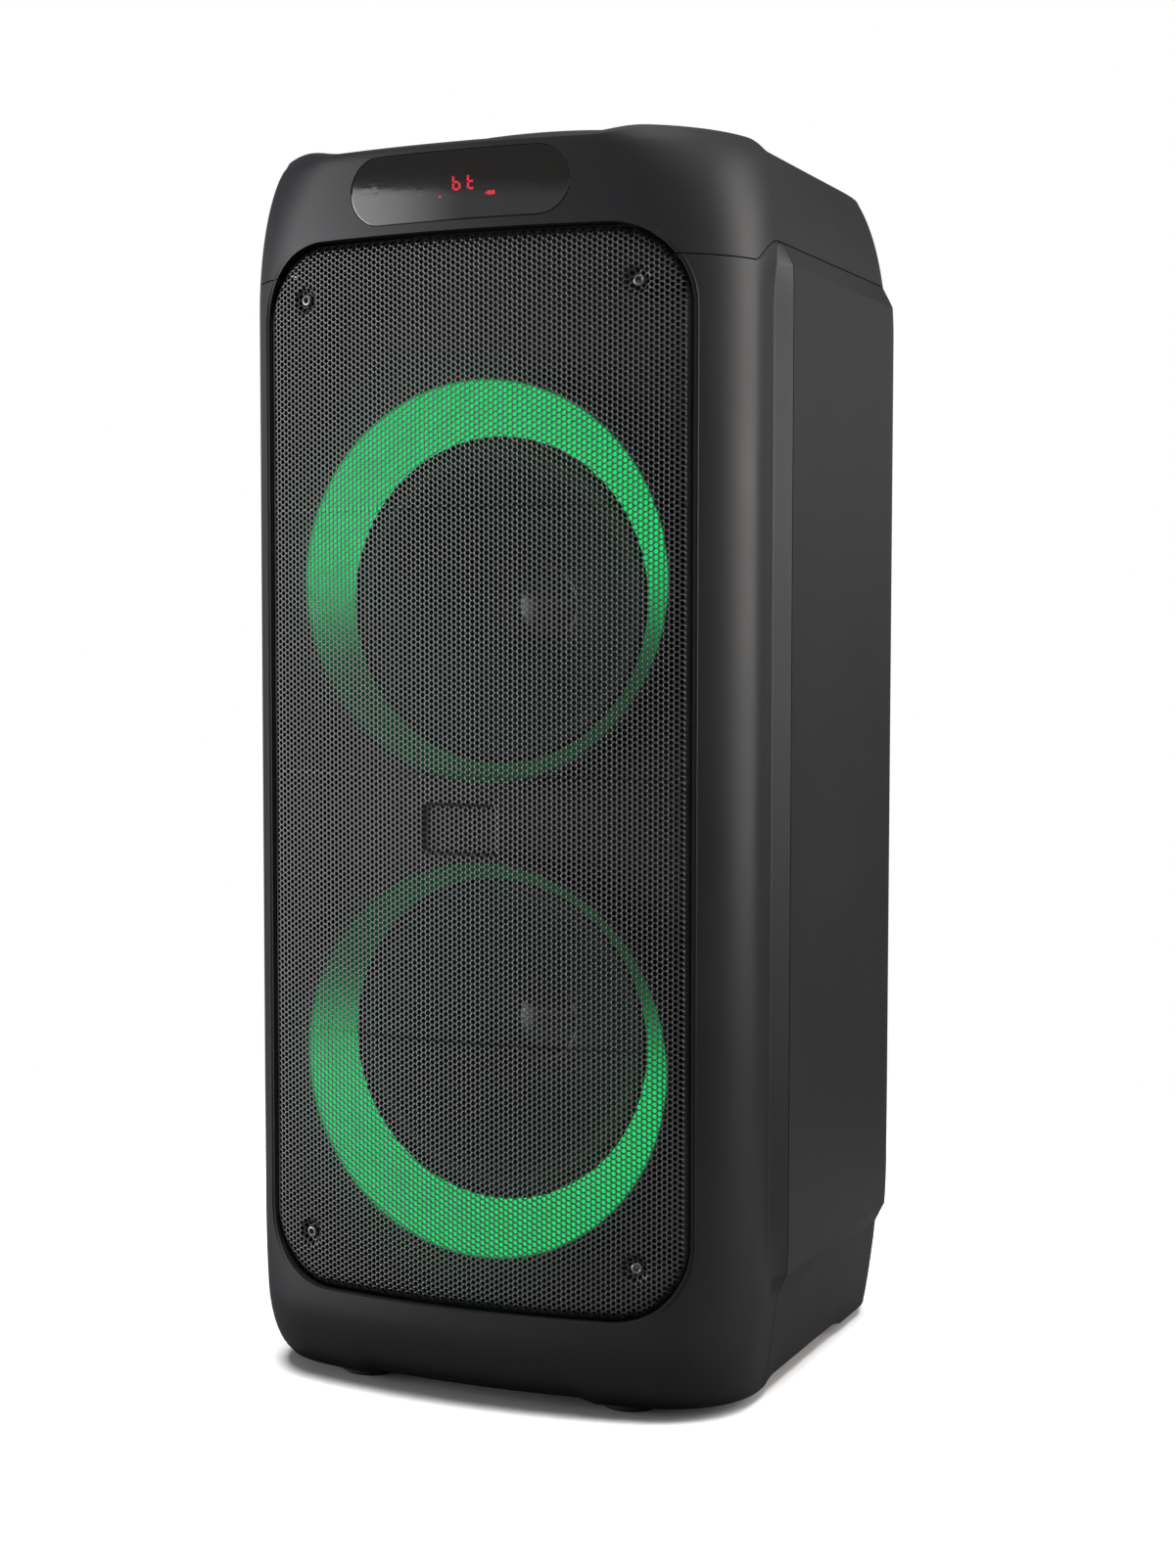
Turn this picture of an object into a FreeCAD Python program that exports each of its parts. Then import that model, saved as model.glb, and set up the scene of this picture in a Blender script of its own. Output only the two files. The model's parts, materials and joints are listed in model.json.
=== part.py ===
"""Tall party speaker: a two-shell cabinet with a top cap, two woofers in crescent light rings.

Frame: origin on the floor under the middle of the cabinet, front face towards -Y, +Z up.
"""
import FreeCAD, Part
import math
import os
import re
from FreeCAD import Placement, Rotation, Vector
from Sketcher import Constraint

doc = FreeCAD.newDocument("party_speaker")

# ---------------------------------------------------------------- driving dimensions (mm)
SIZES = {
    # cabinet form
    "cabinet_half_width": 155,
    "panel_half_width": 160,
    "cabinet_front": -160,
    "cabinet_rear": 160,
    "cabinet_bottom": 9,
    "cabinet_top": 694,
    "rim_top": 690,
    "wall": 3.2,
    "bulge_radius": 467,
    "corner_middle": 48.6,
    "corner_bottom": 41,
    "corner_top": 74,
    "bottom_round": 89,
    "bottom_side_inset": 9,
    "bottom_front_round": 35,
    "bottom_front_inset": 16,
    "top_round": 85,
    "top_side_inset": 14,
    "top_front_round": 9,
    "top_front_inset": 3,
    "saddle_half_x": 78,
    "saddle_half_y": 70,
    "saddle_ramp": 14,
    "parting_plane": -69,
    "chamfer_start": -78,
    "hook_start": -105,
    "hook_end": -80,
    "valley_depth": 2.4,
    "panel_low": 71,
    "panel_high": 626,
    "panel_chamfer": 11.5,
    "seam_front": 627,
    # grille
    "grille_front": -157,
    "grille_radius": 463,
    "grille_sheet": 1.2,
    "opening_half": 128.6,
    "opening_low": 56.4,
    "opening_high": 642.8,
    "opening_corner": 50,
    "grille_gap": 1.5,
    "grille_screw_half": 99.8,
    "grille_screw_low": 86.9,
    "grille_screw_high": 612.4,
    "grille_screw_face": -146.1,
    "grille_screw_angle": 12.45,
    "dimple_radius": 7.6,
    "dimple_floor": 4.4,
    "dimple_depth": 3,
    "screw_head": 3.1,
    "screw_shank": 1.6,
    # baffle and light rings
    "baffle_front": -104,
    "baffle_thickness": 6,
    "baffle_half": 142,
    "baffle_low": 21,
    "baffle_high": 647,
    "baffle_hole": 93,
    "ring_upper": 455.4,
    "ring_lower": 189.6,
    "ring_radius": 111.7,
    "ring_wall": 2.5,
    "ring_front": -130,
    "ring_back": -108,
    "ring_lens": 2.5,
    "ring_board": 1.6,
    # woofers, heights counted forward of the middle plane
    "woofer_upper": 443.6,
    "woofer_lower": 201.4,
    "woofer_window": 88.5,
    "flange_radius": 104,
    "flange_inner": 87,
    "flange_front": 98,
    "flange_thickness": 4,
    "basket_floor": 31,
    "basket_floor_radius": 50,
    "basket_sheet": 1.6,
    "basket_bore": 26,
    "spider_seat": 42,
    "top_plate_radius": 45,
    "top_plate_thickness": 6,
    "gap_radius": 21.3,
    "magnet_radius": 52,
    "magnet_bore": 26,
    "magnet_thickness": 20,
    "yoke_thickness": 6,
    "pole_radius": 18.8,
    "pole_vent": 6,
    "coil_outer": 20.4,
    "coil_inner": 19.8,
    "cone_outer": 79.5,
    "cone_front": 98,
    "cone_neck": 46,
    "cone_paper": 1.2,
    "cap_radius": 24,
    "cap_base": 49.5,
    "cap_rise": 7,
    "roll_middle": 84,
    "roll_radius": 4.6,
    "roll_skin": 0.8,
    # display
    "window_half": 65.5,
    "window_low": 648,
    "window_high": 684.6,
    "window_gap": 0.3,
    "window_thickness": 2.4,
    "digit_height": 8.6,
    "digit_width": 4.8,
    "digit_stroke": 1.1,
    # handle
    "handle_crown": 711.5,
    "handle_arch": 550,
    "handle_half": 104,
    "handle_depth": 11,
    "handle_front": -66,
    "handle_width": 26,
    "handle_leg": 16,
    "hand_recess": 36,
    "hand_half": 84,
    "hand_front": -100,
    "hand_rear": -14,
    # control panel
    "deck_half": 108,
    "deck_front": 4,
    "deck_rear": 112,
    "deck_sheet": 3,
    "deck_gap": 0.3,
    "button_row": 24,
    "button_pitch": 32,
    "button_radius": 6.5,
    "button_clearance": 0.25,
    "button_proud": 1.6,
    "volume_place": 76,
    "volume_radius": 23,
    "volume_height": 15,
    "small_place": 66,
    "small_radius": 9,
    "small_height": 13,
    "knob_gap": 0.6,
    "knob_shaft": 3,
    "shaft_clearance": 0.1,
    # rear panel and its fittings
    "plate_half": 80,
    "plate_low": 440,
    "plate_high": 560,
    "plate_sheet": 3,
    "plate_gap": 0.3,
    "jack_radius": 8,
    "port_radius": 29,
    "port_wall": 2.5,
    "port_length": 90,
    "port_height": 350,
    "port_side": 82,
    "foot_radius": 18,
    "foot_side": 82,
    "foot_front": -107,
    "foot_rear": 107,
    "foot_height": 9,
}

sheet = doc.addObject("Spreadsheet::Sheet", "sizes")
for row, (alias, value) in enumerate(SIZES.items(), start=1):
    sheet.set(f"A{row}", alias)
    sheet.set(f"B{row}", str(value))
    sheet.setAlias(f"B{row}", alias)
doc.recompute()

ALIASES = re.compile(r"\b(" + "|".join(sorted(SIZES, key=len, reverse=True)) + r")\b")
FORWARD = Rotation(Vector(1, 0, 0), 90)   # turns an upright axis to point out of the front
BACKWARD = Rotation(Vector(1, 0, 0), -90)  # turns an upright axis to point out of the rear
UPRIGHT = Rotation()
WOOFERS = {"upper": 1, "lower": -1}


def size(alias):
    """The value of one cell of the sheet."""
    return float(sheet.get(alias))


def bind(obj, **expressions):
    """Tie properties of an object to expressions in the sheet's aliases."""
    for name, expression in expressions.items():
        text = ALIASES.sub(r"sizes.\1", str(expression))
        obj.setExpression(name.replace("__", "."), text)


def put(obj, at, turn=UPRIGHT):
    """Turn an object and tie its position to three expressions."""
    obj.Placement = Placement(Vector(), turn)
    x, y, z = at
    bind(obj, Placement__Base__x=x, Placement__Base__y=y, Placement__Base__z=z)
    return obj


# ---------------------------------------------------------------- building blocks
def cylinder(name, radius, height, at, turn=UPRIGHT):
    obj = doc.addObject("Part::Cylinder", name)
    bind(obj, Radius=radius, Height=height)
    return put(obj, at, turn)


def cone(name, radius_low, radius_high, height, at, turn=UPRIGHT):
    obj = doc.addObject("Part::Cone", name)
    bind(obj, Radius1=radius_low, Radius2=radius_high, Height=height)
    return put(obj, at, turn)


def box(name, length, width, height, at, turn=UPRIGHT):
    obj = doc.addObject("Part::Box", name)
    bind(obj, Length=length, Width=width, Height=height)
    return put(obj, at, turn)


def fuse(name, *shapes):
    obj = doc.addObject("Part::MultiFuse", name)
    obj.Shapes = list(shapes)
    return obj


def group(name, *shapes):
    """Separate solids that share one name."""
    obj = doc.addObject("Part::Compound", name)
    obj.Links = list(shapes)
    return obj


def cut(name, base, *tools):
    obj = doc.addObject("Part::Cut", name)
    obj.Base = base
    obj.Tool = tools[0] if len(tools) == 1 else fuse(name + "_tools", *tools)
    return obj


def common(name, first, second):
    obj = doc.addObject("Part::MultiCommon", name)
    obj.Shapes = [first, second]
    return obj


def feature(name, shape):
    obj = doc.addObject("Part::Feature", name)
    obj.Shape = shape
    return obj


def body_sketch(name, plane):
    """A new body with an empty sketch on one of its own origin planes."""
    body = doc.addObject("PartDesign::Body", name)
    sketch = body.newObject("Sketcher::SketchObject", name + "_sketch")
    planes = {o.Role: o for o in body.Origin.OriginFeatures}
    sketch.AttachmentSupport = [(planes[plane], "")]
    sketch.MapMode = "FlatFace"
    return body, sketch


def value_of(expression):
    """The number that an expression in the sheet's aliases has now."""
    names = {alias: size(alias) for alias in ALIASES.findall(str(expression))}
    total = 0.0
    for sign, term in re.findall(r"([+-]?)\s*([^\s+-][^+-]*)", str(expression)):
        product = 1.0
        for factor in term.split("*"):
            factor = factor.strip()
            product *= names[factor] if factor in names else float(factor)
        total += -product if sign == "-" else product
    return total


def tie_corners(sketch, profile):
    """Join the profile's lines end to end and tie every corner to the sheet."""
    count = len(profile)
    for i in range(count):
        sketch.addConstraint(Constraint("Coincident", i, 2, (i + 1) % count, 1))
    for i, corner in enumerate(profile):
        for kind, expression in zip(("DistanceX", "DistanceY"), corner):
            number = sketch.addConstraint(Constraint(kind, -1, 1, i, 1, value_of(expression)))
            text = ALIASES.sub(r"sizes.\1", str(expression))
            sketch.setExpression(f"Constraints[{number}]", text)


def revolved(name, profile, at, turn=UPRIGHT):
    """A body turned about its upright axis from a closed profile of (radius, height) points."""
    body, sketch = body_sketch(name, "XZ_Plane")
    points = [Vector(value_of(r), value_of(z), 0) for r, z in profile]
    for start, end in zip(points, points[1:] + points[:1]):
        sketch.addGeometry(Part.LineSegment(start, end))
    tie_corners(sketch, profile)
    turned = body.newObject("PartDesign::Revolution", name + "_revolution")
    turned.Profile = sketch
    turned.ReferenceAxis = (sketch, ["V_Axis"])
    turned.Angle = 360
    return put(body, at, turn)


def rounded_plate(half, low, high, corner, front, rear):
    """A plate that stands in the XZ plane, with rounded corners, from one Y to another."""
    inner = half - corner
    edges = []
    corners = [(inner, low + corner, -45), (inner, high - corner, 45),
               (-inner, high - corner, 135), (-inner, low + corner, -135)]
    arcs = []
    for x, z, middle in corners:
        ends = [math.radians(middle + turn) for turn in (-45, 0, 45)]
        arcs.append([Vector(x + corner * math.cos(a), front, z + corner * math.sin(a)) for a in ends])
    for i, arc in enumerate(arcs):
        edges.append(Part.Arc(*arc).toShape())
        following = arcs[(i + 1) % 4][0]
        if (arc[2] - following).Length > 1e-6:
            edges.append(Part.LineSegment(arc[2], following).toShape())
    return Part.Face(Part.Wire(edges)).extrude(Vector(0, rear - front, 0))


# ---------------------------------------------------------------- cabinet form
LOFT_STEPS = 16


def round_over(share, reach):
    """Goes from 0 to 1 like a quarter ellipse; reach below 1 stops it before it is level."""
    share = min(max(share, 0.0), 1.0)
    return (1 - math.sqrt(1 - (share * reach) ** 2)) / (1 - math.sqrt(1 - reach ** 2))


def plan_wire(z, half, front, rear, corner):
    """The cabinet's outline seen from above: bulged front, rounded pillars, rounded rear."""
    bulge = size("bulge_radius")
    x_end = half - corner
    slope = math.asin(x_end / bulge)
    y_end = front + bulge * (1 - math.cos(slope))
    pillar = corner / (1 - math.sin(slope))
    x_mid, y_mid = half - pillar, y_end + pillar * math.cos(slope)
    halfway = (slope - math.pi / 2) / 2
    on_pillar = (x_mid + pillar * math.cos(halfway), y_mid + pillar * math.sin(halfway))
    rear_mid = (half - corner, rear - corner)
    on_rear = [c + corner * math.sqrt(0.5) for c in rear_mid]

    def at(x, y):
        return Vector(x, y, z)

    def arc(a, b, c):
        return Part.Arc(at(*a), at(*b), at(*c)).toShape()

    def line(a, b):
        return Part.LineSegment(at(*a), at(*b)).toShape()

    flip = lambda p: (-p[0], p[1])
    tip, side, back = (x_end, y_end), (half, y_mid), (half, rear_mid[1])
    tail = (rear_mid[0], rear)
    return Part.Wire([
        arc(flip(tip), (0, front), tip),
        arc(tip, on_pillar, side),
        line(side, back),
        arc(back, on_rear, tail),
        line(tail, flip(tail)),
        arc(flip(tail), flip(on_rear), flip(back)),
        line(flip(back), flip(side)),
        arc(flip(side), flip(on_pillar), flip(tip)),
    ])


def level(z, wall=0.0):
    """The cabinet's outline at one height, moved inward by a wall thickness."""
    low = (size("cabinet_bottom") + size("bottom_round") - z) / size("bottom_round")
    high = (z - size("cabinet_top") + size("top_round")) / size("top_round")
    low_front = (size("cabinet_bottom") + size("bottom_front_round") - z) / size("bottom_front_round")
    high_front = (z - size("cabinet_top") + size("top_front_round")) / size("top_front_round")
    at_bottom, at_top = round_over(low, 0.3), round_over(high, 0.96)
    side_inset = size("bottom_side_inset") * at_bottom + size("top_side_inset") * at_top
    front_inset = (size("bottom_front_inset") * round_over(low_front, 0.9)
                   + size("top_front_inset") * round_over(high_front, 0.98))
    middle = size("corner_middle")
    corner = (middle + (size("corner_bottom") - middle) * at_bottom
              + (size("corner_top") - middle) * at_top)
    return plan_wire(z, size("cabinet_half_width") - side_inset - wall,
                     size("cabinet_front") + front_inset + wall,
                     size("cabinet_rear") - side_inset - wall, corner - wall)


def cabinet_form(low, high, wall=0.0):
    """The closed cabinet form between two heights: two curved ends and a straight middle."""
    curve_low = size("cabinet_bottom") + size("bottom_round")
    curve_high = size("cabinet_top") - size("top_round")
    steps = [i / LOFT_STEPS for i in range(LOFT_STEPS + 1)]
    lower = [level(low + (curve_low - low) * t, wall) for t in steps]
    upper = [level(curve_high + (high - curve_high) * t, wall) for t in steps]
    middle = Part.Face(level(curve_low, wall)).extrude(Vector(0, 0, curve_high - curve_low))
    ends = [Part.makeLoft(wires, True, False) for wires in (lower, upper)]
    return middle.fuse(ends)


def side_panels(wall=0.0):
    """The raised flat side panels: a wider outline, chamfered where it meets the cabinet."""
    step = size("panel_half_width") - size("cabinet_half_width")
    half, base = size("panel_half_width") - wall, size("cabinet_half_width") - wall
    corner, rear = size("corner_middle") - wall, size("cabinet_rear") - wall
    start, full = size("chamfer_start") + wall, size("parting_plane") + wall
    diagonal = corner * math.sqrt(0.5)
    lows = [size("panel_low") - size("panel_chamfer"), size("panel_low")]
    highs = [size("panel_high"), size("panel_high") + size("panel_chamfer")]
    lows, highs = [z + wall for z in lows], [z - wall for z in highs]
    right = [(0, start), (base, start), (half, full), (half, rear - corner),
             (half - corner + diagonal, rear - corner + diagonal), (half - corner, rear), (0, rear)]
    edges = [Part.LineSegment(Vector(*a), Vector(*b)).toShape() for a, b in
             zip(right[:3], right[1:4])]
    edges.append(Part.Arc(*[Vector(*p) for p in right[3:6]]).toShape())
    edges.append(Part.LineSegment(Vector(*right[5]), Vector(*right[6])).toShape())
    edges.append(Part.LineSegment(Vector(*right[6]), Vector(*right[0])).toShape())
    plan = Part.Face(Part.Wire(edges)).extrude(Vector(0, 0, size("cabinet_top")))
    profile = [(0, lows[0]), (base, lows[0]), (half, lows[1]), (half, highs[0]), (base, highs[1]),
               (0, highs[1])]
    front_view = Part.makePolygon([Vector(x, start, z) for x, z in profile + profile[:1]])
    depth = Vector(0, rear - start, 0)
    right_half = plan.common(Part.Face(front_view).extrude(depth))
    left_half = right_half.mirror(Vector(), Vector(1, 0, 0))
    return right_half.fuse(left_half).removeSplitter()


REACH = 400  # further than any point of the cabinet


def across(points):
    """A prism along X from a polygon of (y, z) points."""
    wire = Part.makePolygon([Vector(-REACH, y, z) for y, z in points + points[:1]])
    return Part.Face(wire).extrude(Vector(2 * REACH, 0, 0))


def along(points):
    """A prism along Y from a polygon of (x, z) points."""
    wire = Part.makePolygon([Vector(x, -REACH, z) for x, z in points + points[:1]])
    return Part.Face(wire).extrude(Vector(0, 2 * REACH, 0))


def saddles():
    """What is taken off the top rim between its four raised corners, with S-curved ramps."""
    rim, ramp = size("rim_top"), size("saddle_ramp")
    rise = size("cabinet_top") - rim
    shares = [i / 8 for i in range(9)]
    shapes = []
    for maker, half in ((along, size("saddle_half_x")), (across, size("saddle_half_y"))):
        climb = [(half + ramp * t, rim + rise * (1 - math.cos(math.pi * t)) / 2) for t in shares]
        climb.append((half + ramp, rim + 2 * rise))
        shapes.append(maker(climb + [(-x, z) for x, z in reversed(climb)]))
    return shapes


def valleys(wall=0.0):
    """A shallow upright hollow in each side, between the pillar and the raised panel."""
    step, depth = size("panel_half_width") - size("cabinet_half_width"), size("valley_depth")
    start, end = size("chamfer_start") - 20 - wall, size("chamfer_start") + wall
    side = size("cabinet_half_width") - wall
    low, high = size("panel_low") - wall, size("panel_high") + wall
    base, middle = (side - depth, end), (side - 0.8 * depth, (start + end) / 2)
    shapes = []
    for sign in (-1, 1):
        points = [Vector(sign * x, y, low) for x, y in
                  ((side + step, start), (side, start), middle, base, (side + step, end))]
        curve = Part.Arc(*points[1:4]).toShape()
        straight = [Part.LineSegment(*pair).toShape() for pair in
                    (points[:2], points[3:], (points[4], points[0]))]
        outline = Part.Wire([straight[0], curve, straight[1], straight[2]])
        shapes.append(Part.Face(outline).extrude(Vector(0, 0, high - low)))
    return shapes


def seam_line():
    """The cap's lower edge seen from the side: level in front, then a quarter ellipse up to the panel."""
    front, rear = size("seam_front"), size("panel_high") + size("panel_chamfer")
    start, end = size("hook_start"), size("hook_end")
    turns = [math.radians(90 * i / 10) for i in range(11)]
    hook = [(end + (start - end) * math.cos(a), front + (rear - front) * math.sin(a)) for a in turns]
    return [(-REACH, front)] + hook + [(REACH, rear)]


wall = size("wall")
form = cabinet_form(size("cabinet_bottom"), size("cabinet_top")).fuse(side_panels())
form = form.cut(saddles() + valleys()).removeSplitter()
cavity = cabinet_form(size("cabinet_bottom") + wall, size("rim_top") - wall, wall)
cavity = cavity.fuse(side_panels(wall)).cut(valleys(wall)).removeSplitter()
skin = form.cut(cavity)
above_seam = across(seam_line() + [(REACH, 2 * REACH), (-REACH, 2 * REACH)])
before_parting = across([(-REACH, -REACH), (size("parting_plane"), -REACH),
                         (size("parting_plane"), 2 * REACH), (-REACH, 2 * REACH)])
opening = rounded_plate(size("opening_half"), size("opening_low"), size("opening_high"),
                        size("opening_corner"), size("cabinet_front") - 5, size("baffle_front") - 5)
lower_skin = skin.cut(above_seam)
rear_skin = lower_skin.cut(before_parting)

# ---------------------------------------------------------------- baffle with its ring housings
baffle_back = "baffle_front + baffle_thickness"
baffle_corner = 45
plate = feature("baffle_plate", rounded_plate(
    size("baffle_half"), size("baffle_low"), size("baffle_high"), baffle_corner,
    size("baffle_front"), size("baffle_front") + size("baffle_thickness")))
housings, hollows, flange_holes = [], [], {}
SCREWS_PER_WOOFER = 8
woofer_screw_ring = "flange_radius - 5.5"
woofer_screws = []
for side in WOOFERS:
    ring_place = ("0", "baffle_front", f"ring_{side}")
    housings.append(cylinder(f"housing_{side}", "ring_radius + ring_wall",
                             "baffle_front - ring_front", ring_place, FORWARD))
    hollows.append(cylinder(f"housing_hollow_{side}", "ring_radius + 0.3",
                            "baffle_front - ring_front + 1", ring_place, FORWARD))
    hollows.append(cylinder(f"baffle_hole_{side}", "baffle_hole", "3 * baffle_thickness",
                            ("0", f"{baffle_back} + 2", f"woofer_{side}"), FORWARD))
    flange_holes[side] = []
    for i in range(SCREWS_PER_WOOFER):
        angle = math.radians(22.5 + 45 * i)
        x = f"({woofer_screw_ring}) * {math.cos(angle):.6f}"
        z = f"woofer_{side} + ({woofer_screw_ring}) * {math.sin(angle):.6f}"
        tag = f"{side}_{i}"
        hole = cylinder(f"woofer_screw_hole_{tag}", "2", "flange_thickness + 5.7",
                        (x, "1 - flange_front + flange_thickness", z), FORWARD)
        flange_holes[side].append(hole)
        head = cylinder(f"woofer_screw_head_{tag}", "3.6", "2.2",
                        (x, "2.2 - flange_front + flange_thickness", z), FORWARD)
        shank = cylinder(f"woofer_screw_shank_{tag}", "1.9", "flange_thickness + 4.5",
                         (x, "flange_thickness - flange_front", z), FORWARD)
        woofer_screws.append(fuse(f"woofer_screw_{tag}", head, shank))
grille_corners = [(side, end) for side in (-1, 1) for end in ("low", "high")]
posts, pilots, grille_screws = [], [], []
for side, end in grille_corners:
    tag = f"{end}_{'right' if side > 0 else 'left'}"
    turn = Rotation(Vector(0, 0, 1), side * size("grille_screw_angle")) * FORWARD
    lean = Rotation(Vector(0, 0, 1), side * size("grille_screw_angle")).multVec(Vector(0, 1, 0))
    height = f"grille_screw_{end}"

    def behind(depth):
        """Place an object this far behind the grille's face, on the screw's own axis."""
        return (f"{side} * grille_screw_half + {lean.x:.6f} * ({depth})",
                f"grille_screw_face + {lean.y:.6f} * ({depth})", height)

    post_height = "grille_screw_face * -1 + baffle_front - dimple_depth"
    posts.append(cylinder(f"post_{tag}", "6", post_height,
                          behind(f"dimple_depth + grille_sheet + {post_height}"), turn))
    pilots.append(cylinder(f"pilot_{tag}", "screw_shank + 0.1", "14",
                           behind("dimple_depth + 14"), turn))
    head = cylinder(f"grille_screw_head_{tag}", "screw_head", "1.9", behind("dimple_depth"), turn)
    recess = cylinder(f"grille_screw_recess_{tag}", "1.3", "1.6",
                      behind("dimple_depth - 0.9"), turn)
    shank = cylinder(f"grille_screw_shank_{tag}", "screw_shank", "12",
                     behind("dimple_depth + 12"), turn)
    solid = fuse(f"grille_screw_solid_{tag}", head, shank)
    grille_screws.append(cut(f"grille_screw_{tag}", solid, recess))
baffle_solid = fuse("baffle_solid", plate, *housings, *posts)
baffle_cuts = hollows + pilots + flange_holes["upper"] + flange_holes["lower"]
nodes = {
    "baffle": cut("baffle_cut", baffle_solid, *baffle_cuts),
    "grille_screws": group("grille_screw_set", *grille_screws),
    "woofer_screws": group("woofer_screw_set", *woofer_screws),
}

# ---------------------------------------------------------------- grille
def grille_shape():
    """The curved sheet with its rounded outline, four screw dimples and a shallow blank pocket."""
    radius, sheet_thickness = size("grille_radius"), size("grille_sheet")
    gap, middle_y = size("grille_gap"), size("grille_front") + size("grille_radius")
    height = size("cabinet_top")
    tube = Part.makeCylinder(radius, height, Vector(0, middle_y, 0))
    tube = tube.cut(Part.makeCylinder(radius - sheet_thickness, height, Vector(0, middle_y, 0)))
    outline = rounded_plate(size("opening_half") - gap, size("opening_low") + gap,
                            size("opening_high") - gap, size("opening_corner") - gap,
                            size("cabinet_front") - 5, 0)
    shape = tube.common(outline)
    shank = size("screw_shank") + 0.3
    for side, end in grille_corners:
        turn = Rotation(Vector(0, 0, 1), side * size("grille_screw_angle"))
        inward = turn.multVec(Vector(0, 1, 0))
        face = Vector(side * size("grille_screw_half"), size("grille_screw_face"),
                      size(f"grille_screw_{end}"))
        depth, rim, floor = size("dimple_depth"), size("dimple_radius"), size("dimple_floor")
        outside = Part.makeCone(rim + 0.9, floor + 0.9, depth + sheet_thickness - 0.4,
                                face + inward * 0.4, inward)
        inside = Part.makeCone(rim * 1.1, floor, depth + 1, face - inward, inward)
        hole = Part.makeCylinder(shank, 20, face - inward * 5, inward)
        shape = shape.fuse(outside).cut([inside, hole])
    pocket_depth = sheet_thickness / 2
    badge = Part.makeCylinder(radius + 5, 26.8, Vector(0, middle_y, 307.5))
    badge = badge.cut(Part.makeCylinder(radius - pocket_depth, 26.8, Vector(0, middle_y, 307.5)))
    frame = Part.makeBox(43.4, 60, 26.8, Vector(-21.7, size("cabinet_front") - 10, 307.5))
    return shape.cut(badge.common(frame))


nodes["grille"] = feature("grille_sheet_form", grille_shape())


# ---------------------------------------------------------------- light rings
def ring_lens_shape(ring_z, woofer_z):
    """A funnel between a large circle at the front and a smaller, off-centre one behind it."""
    def circle(radius, y, z):
        return Part.Circle(Vector(0, y, z), Vector(0, 1, 0), radius).toShape()

    shift = size("ring_lens")
    large = [circle(size("ring_radius"), size("ring_front") + s, ring_z) for s in (0, shift)]
    small = [circle(size("woofer_window"), size("ring_back") + s, woofer_z) for s in (0, shift)]
    faces = [Part.makeRuledSurface(a, b) for a, b in
             ((large[0], small[0]), (small[0], small[1]), (small[1], large[1]), (large[1], large[0]))]
    return Part.Solid(Part.Shell(faces))


for side in WOOFERS:
    lens = ring_lens_shape(size(f"ring_{side}"), size(f"woofer_{side}"))
    nodes[f"{side}_light_ring"] = feature(f"light_ring_{side}", lens)
    board = cylinder(f"ring_board_disc_{side}", "ring_radius - 2.5", "ring_board",
                     ("0", "baffle_front", f"ring_{side}"), FORWARD)
    inside = cylinder(f"ring_board_hole_{side}", "woofer_window + 6.5", "3 * ring_board",
                      ("0", "baffle_front + ring_board", f"woofer_{side}"), FORWARD)
    nodes[f"{side}_ring_board"] = cut(f"ring_board_{side}", board, inside)

# ---------------------------------------------------------------- woofers
BASKET = [
    ("flange_radius", "flange_front"), ("flange_inner", "flange_front"),
    ("flange_inner", "flange_front - basket_sheet"), ("90", "flange_front - basket_sheet"),
    ("54", "spider_seat"), ("49", "spider_seat"), ("49", "basket_floor + basket_sheet"),
    ("basket_bore", "basket_floor + basket_sheet"), ("basket_bore", "basket_floor"),
    ("basket_floor_radius + 0.6", "basket_floor"),
    ("basket_floor_radius + 0.6", "spider_seat - basket_sheet"),
    ("55", "spider_seat - basket_sheet"), ("92", "flange_front - flange_thickness"),
    ("flange_radius", "flange_front - flange_thickness"),
]
CONE = [
    ("coil_outer", "cone_neck"), ("48", "cone_neck + 18"), ("cone_outer", "cone_front - cone_paper"),
    ("cone_outer", "cone_front"), ("48", "cone_neck + 18 + cone_paper * 1.3"),
    ("coil_outer", "cone_neck + cone_paper * 1.3"),
]
DUST_CAP = [
    ("cap_radius - 0.9", "cap_base + 0.6"), ("cap_radius", "cap_base + 0.6"),
    ("cap_radius * 0.78", "cap_base + cap_rise * 0.62"),
    ("cap_radius * 0.42", "cap_base + cap_rise * 0.94"), ("0", "cap_base + cap_rise * 1.08"),
    ("0", "cap_base + cap_rise * 0.97"), ("cap_radius * 0.41", "cap_base + cap_rise * 0.83"),
    ("cap_radius * 0.75", "cap_base + cap_rise * 0.51"),
]
yoke_back = "basket_floor - top_plate_thickness - magnet_thickness - yoke_thickness"
YOKE = [
    ("pole_vent", yoke_back), ("top_plate_radius", yoke_back),
    ("top_plate_radius", f"{yoke_back} + yoke_thickness"),
    ("pole_radius", f"{yoke_back} + yoke_thickness"), ("pole_radius", "basket_floor"),
    ("pole_vent", "basket_floor"),
]


def ring(name, outer, inner, height, at, turn=FORWARD):
    """A flat ring whose low face is at the given place."""
    disc = cylinder(name + "_disc", outer, height, at, turn)
    bore = cylinder(name + "_bore", inner, f"{height} + 0", at, turn)
    return cut(name, disc, bore)


def up_from(height, woofer_z):
    """The place this far forward of the middle plane on a woofer's axis."""
    return ("0", f"-1 * ({height})", woofer_z)


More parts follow.
